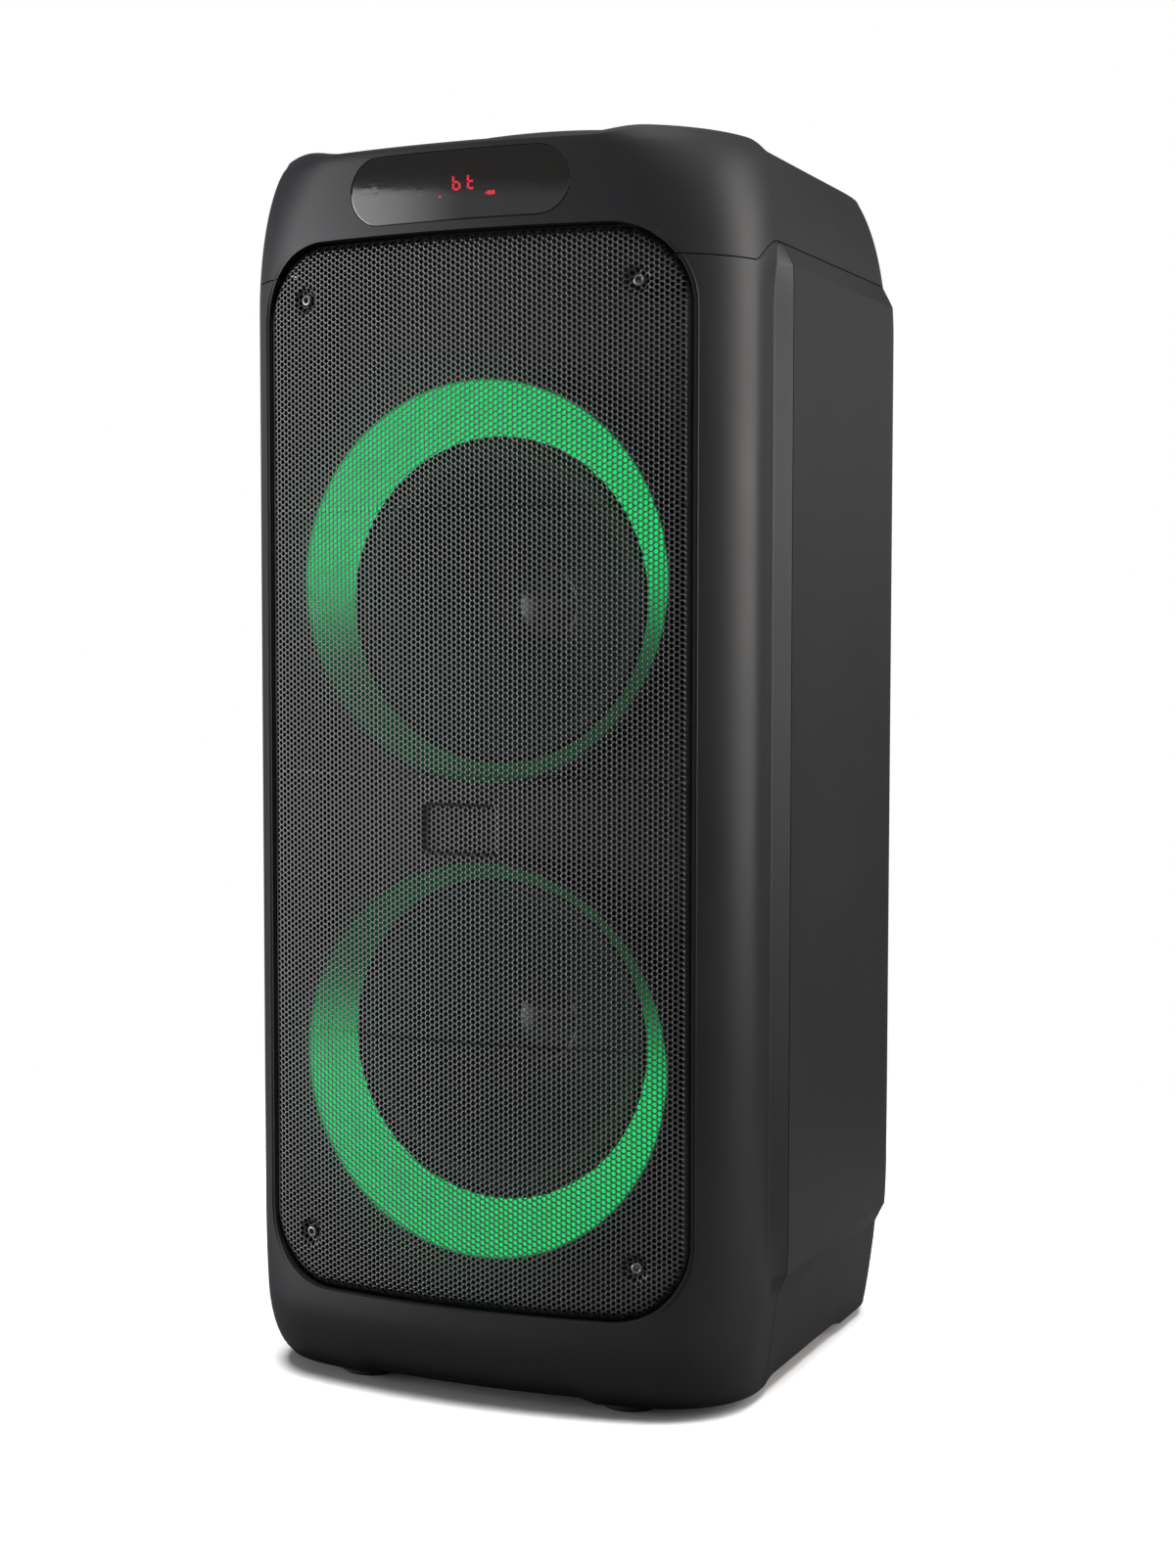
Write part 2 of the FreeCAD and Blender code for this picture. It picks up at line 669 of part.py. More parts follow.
WINDOWS = 3
for side in WOOFERS:
    z = f"woofer_{side}"
    axis = ("0", "0", z)
    tub = revolved(f"basket_tub_{side}", BASKET, axis, FORWARD)
    slots = []
    for i in range(WINDOWS):
        turn = FORWARD * Rotation(Vector(0, 0, 1), 180 / WINDOWS * i)
        corner = turn.multVec(Vector(-22, -120, 0))
        slot = box(f"basket_window_{side}_{i}", "44", "240", "34",
                   (f"{corner.x:.6f}", "-52", f"{z} + {corner.z:.6f}"), turn)
        slots.append(slot)
    nodes[f"{side}_woofer_basket"] = cut(f"basket_{side}", tub, *slots, *flange_holes[side])
    nodes[f"{side}_top_plate"] = ring(
        f"top_plate_{side}", "top_plate_radius", "gap_radius", "top_plate_thickness",
        up_from("basket_floor - top_plate_thickness", z))
    nodes[f"{side}_magnet"] = ring(
        f"magnet_{side}", "magnet_radius", "magnet_bore", "magnet_thickness",
        up_from("basket_floor - top_plate_thickness - magnet_thickness", z))
    nodes[f"{side}_yoke"] = revolved(f"yoke_{side}", YOKE, axis, FORWARD)
    nodes[f"{side}_spider"] = ring(f"spider_{side}", "53", "coil_outer", "0.8",
                                   up_from("spider_seat", z))
    nodes[f"{side}_voice_coil"] = ring(f"voice_coil_{side}", "coil_outer", "coil_inner", "28",
                                       up_from("spider_seat - 21", z))
    nodes[f"{side}_cone"] = revolved(f"cone_{side}", CONE, axis, FORWARD)
    nodes[f"{side}_dust_cap"] = revolved(f"dust_cap_{side}", DUST_CAP, axis, FORWARD)

    roll_base = up_from("cone_front + 0.3", z)
    tori = []
    for part, radius in (("skin", "roll_radius"), ("hollow", "roll_radius - roll_skin")):
        torus = doc.addObject("Part::Torus", f"roll_{part}_{side}")
        bind(torus, Radius1="roll_middle", Radius2=radius)
        tori.append(put(torus, roll_base, FORWARD))
    half_space = cylinder(f"roll_space_{side}", "baffle_hole", "10", roll_base, FORWARD)
    roll = common(f"roll_{side}", cut(f"roll_tube_{side}", *tori), half_space)
    outer_lip = ring(f"roll_outer_lip_{side}", "baffle_hole - 0.5", "roll_middle + roll_radius - 0.4",
                     "roll_skin", up_from("flange_front", z))
    inner_lip = ring(f"roll_inner_lip_{side}", "roll_middle - roll_radius + 0.4", "cone_outer - 3",
                     "roll_skin", up_from("cone_front + 0.3", z))
    nodes[f"{side}_surround"] = fuse(f"surround_{side}", roll, outer_lip, inner_lip)

# ---------------------------------------------------------------- display
def stadium(low, high, half, grow, front, rear):
    """A plate with fully round ends, grown by a margin all round."""
    radius = (high - low) / 2 + grow - 0.01
    return rounded_plate(half + grow, low - grow, high + grow, radius, front, rear)


def window_shape():
    """The smoked lens, curved like the cabinet's front."""
    bulge, thickness = size("bulge_radius"), size("window_thickness")
    middle_y = size("cabinet_front") + bulge
    tube = Part.makeCylinder(bulge, size("cabinet_top"), Vector(0, middle_y, 0))
    tube = tube.cut(Part.makeCylinder(bulge - thickness, size("cabinet_top"), Vector(0, middle_y, 0)))
    outline = stadium(size("window_low"), size("window_high"), size("window_half"), 0,
                      size("cabinet_front") - 5, -140)
    return tube.common(outline)


nodes["display_window"] = feature("window_form", window_shape())
window_cut = stadium(size("window_low"), size("window_high"), size("window_half"),
                     size("window_gap"), size("cabinet_front") - 5, -150)
board_front, module_front = -150, -155.4
circuit = box("display_circuit", "116", "1.6", "30", ("-58", board_front, "651"))
module = box("display_module", "54", board_front - module_front, "22", ("-22", module_front, "656"))
nodes["display_board"] = fuse("display_board_form", circuit, module)

# which strokes of a seven-segment figure each letter lights
LETTERS = {"b": "cdefg", "t": "defg"}
letter_places = {"b": -3.6, "t": 5.2}
figure_low = 664.2


def stroke(name, x, z, width, height):
    return box(name, width, "0.3", height, (x, module_front - 0.3, z))


def figure(letter, left):
    """The lit strokes of one figure, each a separate bar."""
    half = "(digit_height - digit_stroke) / 2"
    flat, tall = "digit_width - 2 * digit_stroke - 0.4", "digit_height / 2 - digit_stroke - 0.2"
    right = f"{left} + digit_width - digit_stroke"
    places = {
        "a": (f"{left} + digit_stroke + 0.2", f"{figure_low} + 2 * {half}", flat, "digit_stroke"),
        "g": (f"{left} + digit_stroke + 0.2", f"{figure_low} + {half}", flat, "digit_stroke"),
        "d": (f"{left} + digit_stroke + 0.2", f"{figure_low}", flat, "digit_stroke"),
        "b": (right, f"{figure_low} + {half} + digit_stroke / 2 + 0.2", "digit_stroke", tall),
        "f": (f"{left}", f"{figure_low} + {half} + digit_stroke / 2 + 0.2", "digit_stroke", tall),
        "c": (right, f"{figure_low} + digit_stroke / 2 + 0.2", "digit_stroke", tall),
        "e": (f"{left}", f"{figure_low} + digit_stroke / 2 + 0.2", "digit_stroke", tall),
    }
    return [stroke(f"figure_{letter}_{part}", *places[part]) for part in LETTERS[letter]]


segments = figure("b", letter_places["b"]) + figure("t", letter_places["t"])
battery_left, battery_low = 17.4, 660.6
segments += [stroke(f"battery_bar_{i}", battery_left + 1.5 * i, battery_low, "1.1", "2.2")
             for i in range(3)]
segments.append(stroke("battery_tip", battery_left - 1.3, battery_low + 0.6, "0.9", "1.0"))
segments.append(stroke("status_dot", -11.6, battery_low + 0.4, "0.9", "0.9"))
nodes["display_segments"] = group("display_segment_set", *segments)


# ---------------------------------------------------------------- carrying handle
def handle_shape():
    """An arched bar that stands on two short legs over the hand recess."""
    outer, inner = size("handle_arch"), size("handle_arch") - size("handle_depth")
    half, leg, rim = size("handle_half"), size("handle_leg"), size("rim_top")
    middle = Vector(0, size("handle_front"), size("handle_crown") - outer)

    def on_arc(radius, x):
        return middle + Vector(x, 0, math.sqrt(radius ** 2 - x ** 2))

    span = half - leg
    top = Part.Arc(on_arc(outer, half), on_arc(outer, 0), on_arc(outer, -half)).toShape()
    under = Part.Arc(on_arc(inner, -span), on_arc(inner, 0), on_arc(inner, span)).toShape()
    corners = [on_arc(outer, -half), Vector(-half, middle.y, rim), Vector(-span, middle.y, rim),
               on_arc(inner, -span)]
    left = [Part.LineSegment(a, b).toShape() for a, b in zip(corners, corners[1:])]
    corners = [Vector(-p.x, p.y, p.z) for p in reversed(corners)]
    right = [Part.LineSegment(a, b).toShape() for a, b in zip(corners, corners[1:])]
    face = Part.Face(Part.Wire([top] + left + [under] + right))
    return face.extrude(Vector(0, size("handle_width"), 0))


leg_x = "handle_half - handle_leg / 2"
cap_underside = "rim_top - wall"
handle_screws, handle_holes = [], []
for side in (-1, 1):
    for row in (-1, 1):
        tag = f"{'right' if side > 0 else 'left'}_{'rear' if row > 0 else 'front'}"
        x, y = f"{side} * ({leg_x})", f"handle_front + handle_width / 2 + {row * 7}"
        head = cylinder(f"handle_screw_head_{tag}", "3.5", "2.4", (x, y, f"{cap_underside} - 2.4"))
        shank = cylinder(f"handle_screw_shank_{tag}", "1.9", "10", (x, y, cap_underside))
        handle_screws.append(fuse(f"handle_screw_{tag}", head, shank))
        handle_holes.append(cylinder(f"handle_hole_{tag}", "2", "12", (x, y, f"{cap_underside} - 1")))
nodes["carry_handle"] = cut("handle_cut", feature("handle_form", handle_shape()), *handle_holes)
nodes["handle_screws"] = group("handle_screw_set", *handle_screws)

# ---------------------------------------------------------------- top control panel
deck_low = "rim_top - deck_sheet"
BUTTONS = ["light", "previous", "play", "next", "mode"]
KNOBS = {
    # name: (x, radius, height)
    "volume": ("0", "volume_radius", "volume_height"),
    "mic": ("-1 * small_place", "small_radius", "small_height"),
    "echo": ("small_place", "small_radius", "small_height"),
}
deck = box("deck_plate", "2 * deck_half", "deck_rear - deck_front", "deck_sheet",
           ("-1 * deck_half", "deck_front", deck_low))
deck_holes, switches, encoders = [], [], []
board_top = 671.6
for i, name in enumerate(BUTTONS):
    x = f"{i - 2} * button_pitch"
    axis = (x, "button_row", "0")
    hole_radius = "button_radius + button_clearance"
    deck_holes.append(cylinder(f"button_hole_{name}", hole_radius, "10", (x, "button_row", "682")))
    profile = [("0", "679"), ("3", "679"), ("3", f"{deck_low} - 1.6"),
               ("button_radius + 1.6", f"{deck_low} - 1.6"), ("button_radius + 1.6", f"{deck_low} - 0.1"),
               ("button_radius", f"{deck_low} - 0.1"), ("button_radius", "rim_top + button_proud - 0.6"),
               ("button_radius - 0.6", "rim_top + button_proud"), ("0", "rim_top + button_proud")]
    nodes[f"{name}_button"] = revolved(f"button_{name}", profile, axis)
    base = box(f"switch_base_{name}", "6", "6", "3.5", (f"{x} - 3", "button_row - 3", board_top))
    plunger = cylinder(f"switch_plunger_{name}", "1.6", "2.5", (x, "button_row", board_top + 3.5))
    switches.append(fuse(f"switch_{name}", base, plunger))
for name, (x, radius, height) in KNOBS.items():
    axis = (x, "volume_place", "0")
    deck_holes.append(cylinder(f"knob_hole_{name}", "knob_shaft + 2.2", "10",
                               (x, "volume_place", "682")))
    low = "rim_top + knob_gap"
    profile = [("0", "677"), ("knob_shaft", "677"), ("knob_shaft", low), (radius, low),
               (f"{radius} - 0.6", f"{low} + {height} - 1"), (f"{radius} - 1.6", f"{low} + {height}"),
               ("0", f"{low} + {height}")]
    nodes[f"{name}_knob"] = revolved(f"knob_{name}", profile, axis)
    case = box(f"encoder_case_{name}", "13", "13", "7", (f"{x} - 6.5", "volume_place - 6.5", board_top))
    bush = cylinder(f"encoder_bush_{name}", "4.6", "14", (x, "volume_place", board_top))
    bore = cylinder(f"encoder_bore_{name}", "knob_shaft + shaft_clearance / 2", "20",
                    (x, "volume_place", "676"))
    encoders.append(cut(f"encoder_{name}", fuse(f"encoder_solid_{name}", case, bush), bore))
nodes["control_panel"] = cut("control_panel_cut", deck, *deck_holes)
nodes["button_switches"] = group("button_switch_set", *switches)
nodes["knob_encoders"] = group("knob_encoder_set", *encoders)
nodes["control_board"] = box("control_board_form", "200", "100", "1.6", ("-100", "8", board_top - 1.6))

# ---------------------------------------------------------------- rear connector panel
rear_inside = "cabinet_rear - wall"
connector_row, power_row = 530, 470
jack_places = {"left": -56, "right": -26}
plate_form = box("connector_plate", "2 * plate_half", "plate_sheet", "plate_high - plate_low",
                 ("-1 * plate_half", "cabinet_rear - plate_sheet", "plate_low"))


def jack(name, outer, bore, depth, x, z):
    """A round socket whose mouth is level with the plate's outer face."""
    barrel = cylinder(name + "_barrel", outer, depth, (x, f"cabinet_rear - {depth}", z), BACKWARD)
    mouth = cylinder(name + "_mouth", bore, f"{depth} - 2", (x, f"cabinet_rear - {depth} + 2", z),
                     BACKWARD)
    return cut(name, barrel, mouth)


mic_jacks = [jack(f"mic_jack_{tag}", "jack_radius", "3.25", "24", x, connector_row)
             for tag, x in jack_places.items()]
nodes["mic_jacks"] = group("mic_jack_set", *mic_jacks)
usb_x, dc_x, rocker_x = 44, 44, -40
shell = box("usb_shell", "14", "16", "7", (usb_x - 7, "cabinet_rear - 16", connector_row - 3.5))
mouth = box("usb_mouth", "12.6", "15", "5.6", (usb_x - 6.3, "cabinet_rear - 14", connector_row - 2.8))
tongue = box("usb_tongue", "11", "12", "1.6", (usb_x - 5.5, "cabinet_rear - 14.5", connector_row - 0.2))
nodes["usb_socket"] = fuse("usb_socket_form", cut("usb_hollow", shell, mouth), tongue)
pin = cylinder("dc_pin", "1", "12", (dc_x, "cabinet_rear - 15", power_row), BACKWARD)
nodes["charging_socket"] = fuse("charging_socket_form",
                                jack("dc_barrel", "6", "3", "16", dc_x, power_row), pin)
ROCKER_WIDTH, ROCKER_HALF, PIVOT_Y = 17.4, 9.6, 151.5
frame_block = box("rocker_frame_block", "24", "22", "28",
                  (rocker_x - 12, "cabinet_rear - 22", power_row - 14))
frame_hollow = box("rocker_frame_hollow", "18.4", "20", "24",
                   (rocker_x - 9.2, "cabinet_rear - 19", power_row - 12))
PIN_RADIUS = 1.2
pin_hole = cylinder("rocker_pin_hole", PIN_RADIUS + 0.05, "22", (rocker_x - 11, PIVOT_Y, power_row),
                    Rotation(Vector(0, 1, 0), 90))
nodes["rocker_housing"] = cut("rocker_housing_form", frame_block, frame_hollow, pin_hole)


def rocker_profile():
    """The rocker from the side, tilted so that its upper half is pressed in: (y, z) points."""
    tilt = math.radians(9)
    points = [(-6, -5), (-6, 5), (6.2, ROCKER_HALF), (4.2, 0), (6.2, -ROCKER_HALF)]
    return [(PIVOT_Y + y * math.cos(tilt) - z * math.sin(tilt),
             power_row + y * math.sin(tilt) + z * math.cos(tilt)) for y, z in points]


outline = [Vector(rocker_x - ROCKER_WIDTH / 2, y, z) for y, z in rocker_profile()]
rocker_face = Part.Face(Part.makePolygon(outline + outline[:1]))
rocker_block = feature("rocker_block", rocker_face.extrude(Vector(ROCKER_WIDTH, 0, 0)))
rocker_pin = cylinder("rocker_pin", PIN_RADIUS, "21", (rocker_x - 10.5, PIVOT_Y, power_row),
                      Rotation(Vector(0, 1, 0), 90))
nodes["power_rocker"] = fuse("power_rocker_form", rocker_block, rocker_pin)
fitting_holes = [
    cylinder(f"mic_hole_{tag}", "jack_radius + 0.1", "20", (x, "cabinet_rear - 10", connector_row),
             BACKWARD) for tag, x in jack_places.items()]
fitting_holes += [
    cylinder("dc_hole", "6.1", "20", (dc_x, "cabinet_rear - 10", power_row), BACKWARD),
    box("usb_hole", "14.2", "20", "7.2", (usb_x - 7.1, "cabinet_rear - 10", connector_row - 3.6)),
    box("rocker_hole", "24.2", "20", "28.2", (rocker_x - 12.1, "cabinet_rear - 10", power_row - 14.1)),
]

# ---------------------------------------------------------------- bass ports
PORT = [
    ("port_radius", "cabinet_rear - port_length"),
    ("port_radius + port_wall", "cabinet_rear - port_length"),
    ("port_radius + port_wall", "cabinet_rear - 12"), ("port_radius + 5", "cabinet_rear - 6"),
    ("port_radius + 5", "cabinet_rear"), ("port_radius + 4", "cabinet_rear"),
    ("port_radius + 1.2", "cabinet_rear - 4"), ("port_radius", "cabinet_rear - 9"),
]
port_places = {"left": "-1 * port_side", "right": "port_side"}
ports = [revolved(f"port_{tag}", PORT, (x, "0", "port_height"), BACKWARD)
         for tag, x in port_places.items()]
nodes["bass_ports"] = group("bass_port_set", *ports)
port_holes = [cylinder(f"port_hole_{tag}", "port_radius + 5.1", "20",
                       (x, "cabinet_rear - 10", "port_height"), BACKWARD)
              for tag, x in port_places.items()]

# ---------------------------------------------------------------- electronics and battery
floor_level = "cabinet_bottom + wall"
board = box("amplifier_circuit", "170", "1.6", "120", ("-85", "118", "170"))
parts = [
    cylinder("capacitor_left", "9", "26", ("-60", "118", "200"), FORWARD),
    cylinder("capacitor_right", "9", "26", ("-36", "118", "200"), FORWARD),
    box("transformer", "34", "28", "34", ("30", "90.5", "185")),
]
nodes["amplifier_board"] = fuse("amplifier_board_form", board, *parts)
sink_base = box("heat_sink_base", "90", "4", "46", ("-60", "114", "236"))
fins = [box(f"heat_sink_fin_{i}", "2", "24", "46", (-60 + 11 * i, "91", "236")) for i in range(9)]
nodes["heat_sink"] = fuse("heat_sink_form", sink_base, *fins)
battery_front, battery_top = 40, 82
nodes["battery_pack"] = box("battery_pack_form", "150", "70", f"{battery_top} - ({floor_level})",
                            ("-75", battery_front, floor_level))
strap_outer = box("strap_outer", "154.4", "24", f"{battery_top} + 2 - ({floor_level})",
                  ("-77.2", battery_front + 23, floor_level))
strap_inner = box("strap_inner", "150.4", "30", f"{battery_top} - ({floor_level}) + 0.1",
                  ("-75.2", battery_front + 20, floor_level))
strap_feet = [box(f"strap_foot_{tag}", "12", "24", "2", (x, battery_front + 23, floor_level))
              for tag, x in {"left": -88, "right": 76}.items()]
nodes["battery_strap"] = fuse("battery_strap_form", cut("strap_bridge", strap_outer, strap_inner),
                              *strap_feet)

# ---------------------------------------------------------------- feet
FOOT = [
    ("2.2", "4"), ("5.2", "4"), ("5.2", "0"), ("foot_radius - 2", "0"), ("foot_radius", "1.6"),
    ("foot_radius", "foot_height - 1"), ("foot_radius - 0.8", "foot_height"), ("2.2", "foot_height"),
]
feet, foot_screws, foot_holes = [], [], []
for side in (-1, 1):
    for end in ("front", "rear"):
        tag = f"{end}_{'right' if side > 0 else 'left'}"
        x, y = f"{side} * foot_side", f"foot_{end}"
        feet.append(revolved(f"foot_{tag}", FOOT, (x, y, "0")))
        head = cylinder(f"foot_screw_head_{tag}", "4.4", "2.4", (x, y, "1.6"))
        shank = cylinder(f"foot_screw_shank_{tag}", "2", "14", (x, y, "3.9"))
        foot_screws.append(fuse(f"foot_screw_{tag}", head, shank))
        foot_holes.append(cylinder(f"foot_hole_{tag}", "2.1", "20", (x, y, "0")))
nodes["feet"] = group("foot_set", *feet)
nodes["foot_screws"] = group("foot_screw_set", *foot_screws)

# ---------------------------------------------------------------- cabinet shells
BOSS_X, BOSS_HEIGHTS = 146, (100, 330, 580)
parting = size("parting_plane")
long_posts, front_bosses, wells, shell_screws = [], [], [], []
for side in (-1, 1):
    for z in BOSS_HEIGHTS:
        x = side * BOSS_X
        rib_x = min(x, x + side * 12)
        long_posts += [Part.makeCylinder(6, size("cabinet_rear") - parting, Vector(x, parting, z),
                                         Vector(0, 1, 0)),
                       Part.makeBox(12, size("cabinet_rear") - parting, 3, Vector(rib_x, parting, z - 1.5))]
        front_bosses += [Part.makeCylinder(6, 24, Vector(x, parting - 24, z), Vector(0, 1, 0)),
                         Part.makeBox(12, 24, 3, Vector(rib_x, parting - 24, z - 1.5))]
        wells += [Part.makeCylinder(4.2, 300, Vector(x, parting + 22, z), Vector(0, 1, 0)),
                  Part.makeCylinder(2.1, 60, Vector(x, parting - 16, z), Vector(0, 1, 0))]
        tag = f"{'right' if side > 0 else 'left'}_{z}"
        head = cylinder(f"shell_screw_head_{tag}", "3.8", "2.6", (x, parting + 22, z), BACKWARD)
        shank = cylinder(f"shell_screw_shank_{tag}", "2", "36", (x, parting - 14, z), BACKWARD)
        shell_screws.append(fuse(f"shell_screw_{tag}", head, shank))
nodes["shell_screws"] = group("shell_screw_set", *shell_screws)


def open_box(half, low_y, high_y, low_z, high_z):
    return Part.makeBox(2 * half, high_y - low_y, high_z - low_z, Vector(-half, low_y, low_z))


def framed(half, low_y, high_y, low_z, high_z, ledge):
    """A rectangular frame whose opening is smaller than its outline by a ledge on every side."""
    outer = open_box(half, low_y, high_y, low_z, high_z)
    return outer.cut(open_box(half - ledge, low_y + ledge, high_y - ledge, low_z - 1, high_z + 1))


STOP_HEIGHTS = (120, 320, 560)
baffle_stops = [Part.makeBox(20, 6, 4, Vector(side * 147 - 10, size("baffle_front") - 6, z))
                for side in (-1, 1) for z in STOP_HEIGHTS]
front_extras = Part.makeCompound(front_bosses + baffle_stops).common(form)
front_solid = lower_skin.common(before_parting).fuse(front_extras.Solids).cut([opening] + wells)
front_base = feature("front_shell_form", front_solid.removeSplitter())
nodes["front_shell"] = cut("front_shell_cut", front_base,
                           *[hole for hole in foot_holes if "front" in hole.Name])

plate_half, ledge_width = size("plate_half"), 5
ledge_outer = Part.makeBox(2 * plate_half + 2 * ledge_width, 5, size("plate_high")
                           - size("plate_low") + 2 * ledge_width,
                           Vector(-plate_half - ledge_width, size("cabinet_rear") - 8,
                                  size("plate_low") - ledge_width))
ledge_inner = Part.makeBox(2 * plate_half - 2 * ledge_width, 20, size("plate_high")
                           - size("plate_low") - 2 * ledge_width,
                           Vector(-plate_half + ledge_width, size("cabinet_rear") - 12,
                                  size("plate_low") + ledge_width))
gap = size("plate_gap")
plate_recess = Part.makeBox(2 * (plate_half + gap), 10, size("plate_high") - size("plate_low")
                            + 2 * gap, Vector(-plate_half - gap, size("cabinet_rear")
                                              - size("plate_sheet"), size("plate_low") - gap))
rear_extras = Part.makeCompound(long_posts + [ledge_outer]).common(form)
rear_solid = rear_skin.fuse(rear_extras.Solids).cut(wells + [ledge_inner, plate_recess])
rear_base = feature("rear_shell_form", rear_solid.removeSplitter())
nodes["rear_shell"] = cut("rear_shell_cut", rear_base, *port_holes,
                          *[hole for hole in foot_holes if "rear" in hole.Name])

hand_half, hand_wall, hand_floor = size("hand_half"), 3, size("rim_top") - size("hand_recess")
hand_tub = open_box(hand_half + hand_wall, size("hand_front") - hand_wall,
                    size("hand_rear") + hand_wall, hand_floor - hand_wall, size("rim_top"))
hand_space = open_box(hand_half, size("hand_front"), size("hand_rear"), hand_floor, 800)
deck_gap, deck_ledge = size("deck_gap"), 5
deck_floor = size("rim_top") - size("deck_sheet")
deck_frame = framed(size("deck_half") + 3, size("deck_front") - 3, size("deck_rear") + 3,
                    deck_floor - 3, deck_floor, deck_ledge + 3)
deck_space = open_box(size("deck_half") + deck_gap, size("deck_front") - deck_gap,
                      size("deck_rear") + deck_gap, deck_floor, 800)
deck_through = open_box(size("deck_half") - deck_ledge, size("deck_front") + deck_ledge,
                        size("deck_rear") - deck_ledge, deck_floor - 20, 800)
board_posts = [Part.makeCylinder(2.5, deck_floor - board_top, Vector(x, y, board_top))
               for x in (-97, 97) for y in (9.5, 106.5)]
cap_solid = skin.common(above_seam).fuse([hand_tub, deck_frame] + board_posts)
cap_solid = cap_solid.cut([opening, window_cut, hand_space, deck_space, deck_through])
cap_base = feature("top_cap_form", cap_solid.removeSplitter())
nodes["top_cap"] = cut("top_cap_cut", cap_base, *handle_holes)
nodes["connector_panel"] = cut("connector_panel_cut", plate_form, *fitting_holes)

# ---------------------------------------------------------------- check and write
doc.recompute()
failed = [o.Name for o in doc.Objects if "Invalid" in o.State or "Error" in o.State]
if failed:
    raise RuntimeError(f"failed objects: {failed}")
os.makedirs("parts", exist_ok=True)
for name, node in nodes.items():
    shape = node.Shape
    if shape.isNull() or not shape.isValid():
        raise RuntimeError(f"{name} has no valid shape")
    node.Label = name
    shape.exportStep(f"parts/{name}.step")
print(len(nodes), "nodes written")
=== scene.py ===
import json
from math import asin, cos, dist, hypot, pi, radians, sin, sqrt

import bmesh
import bpy
import numpy as np
from mathutils import Matrix, Vector, geometry


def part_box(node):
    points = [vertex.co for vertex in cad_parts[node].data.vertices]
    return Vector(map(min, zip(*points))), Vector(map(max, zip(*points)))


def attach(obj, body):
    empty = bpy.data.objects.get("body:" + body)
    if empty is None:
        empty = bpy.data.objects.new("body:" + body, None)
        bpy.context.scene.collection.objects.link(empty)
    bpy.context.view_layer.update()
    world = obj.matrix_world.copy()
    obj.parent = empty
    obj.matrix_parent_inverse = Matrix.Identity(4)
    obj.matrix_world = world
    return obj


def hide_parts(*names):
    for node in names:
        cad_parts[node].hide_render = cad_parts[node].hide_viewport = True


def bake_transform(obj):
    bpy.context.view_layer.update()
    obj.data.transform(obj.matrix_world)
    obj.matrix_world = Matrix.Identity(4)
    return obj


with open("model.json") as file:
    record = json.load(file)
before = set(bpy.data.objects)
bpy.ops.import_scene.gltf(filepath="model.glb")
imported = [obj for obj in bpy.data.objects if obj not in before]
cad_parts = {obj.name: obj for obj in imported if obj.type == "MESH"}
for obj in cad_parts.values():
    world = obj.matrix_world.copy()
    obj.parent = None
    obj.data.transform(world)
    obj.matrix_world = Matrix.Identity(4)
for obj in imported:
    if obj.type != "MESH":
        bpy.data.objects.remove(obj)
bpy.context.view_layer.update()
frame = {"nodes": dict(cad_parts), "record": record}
NODES = frame["nodes"]
MM = 0.001


# --- finishes

class Tree:
    """Builds a node tree, node by node."""

    def __init__(self, tree, output):
        self.tree = tree
        tree.nodes.clear()
        self.output = self.add(output)

    def add(self, kind, settings=None, **inputs):
        """A node; an input's name has _ for each space, and takes a value or a socket."""
        node = self.tree.nodes.new("ShaderNode" + kind)
        for name, value in (settings or {}).items():
            setattr(node, name, value)
        for name, value in inputs.items():
            self.join(node.inputs[name.replace("_", " ")], value)
        return node

    def one(self, kind, settings=None, **inputs):
        """The first output of such a node."""
        return self.add(kind, settings, **inputs).outputs[0]

    def join(self, socket, value):
        if isinstance(value, bpy.types.NodeSocket):
            self.tree.links.new(value, socket)
        else:
            socket.default_value = value

    def between(self, factor, low, high, start=0.35, end=0.65, way="LINEAR"):
        """A number that runs from low to high as factor runs from start to end."""
        return self.one("MapRange", {"interpolation_type": way}, Value=factor, From_Min=start, From_Max=end,
                        To_Min=low, To_Max=high)

    def fed(self, kind, values, settings=None, output=0):
        """An output of a node whose inputs take the values in order."""
        node = self.add(kind, settings)
        for socket, value in zip(node.inputs, values):
            self.join(socket, value)
        return node.outputs[output]

    def sums(self, operation, *values):
        return self.fed("Math", values, {"operation": operation})

    def dot(self, first, second):
        return self.fed("VectorMath", (first, second), {"operation": "DOT_PRODUCT"}, "Value")

    def length(self, across, up):
        return self.sums("SQRT", self.sums("MULTIPLY_ADD", across, across, self.sums("MULTIPLY", up, up)))

    def mixed(self, factor, first, second):
        """Two shaders: only the first at 0, only the second at 1."""
        return self.fed("MixShader", (factor, first, second))

    def show(self, shader):
        self.join(self.output.inputs["Surface"], shader)


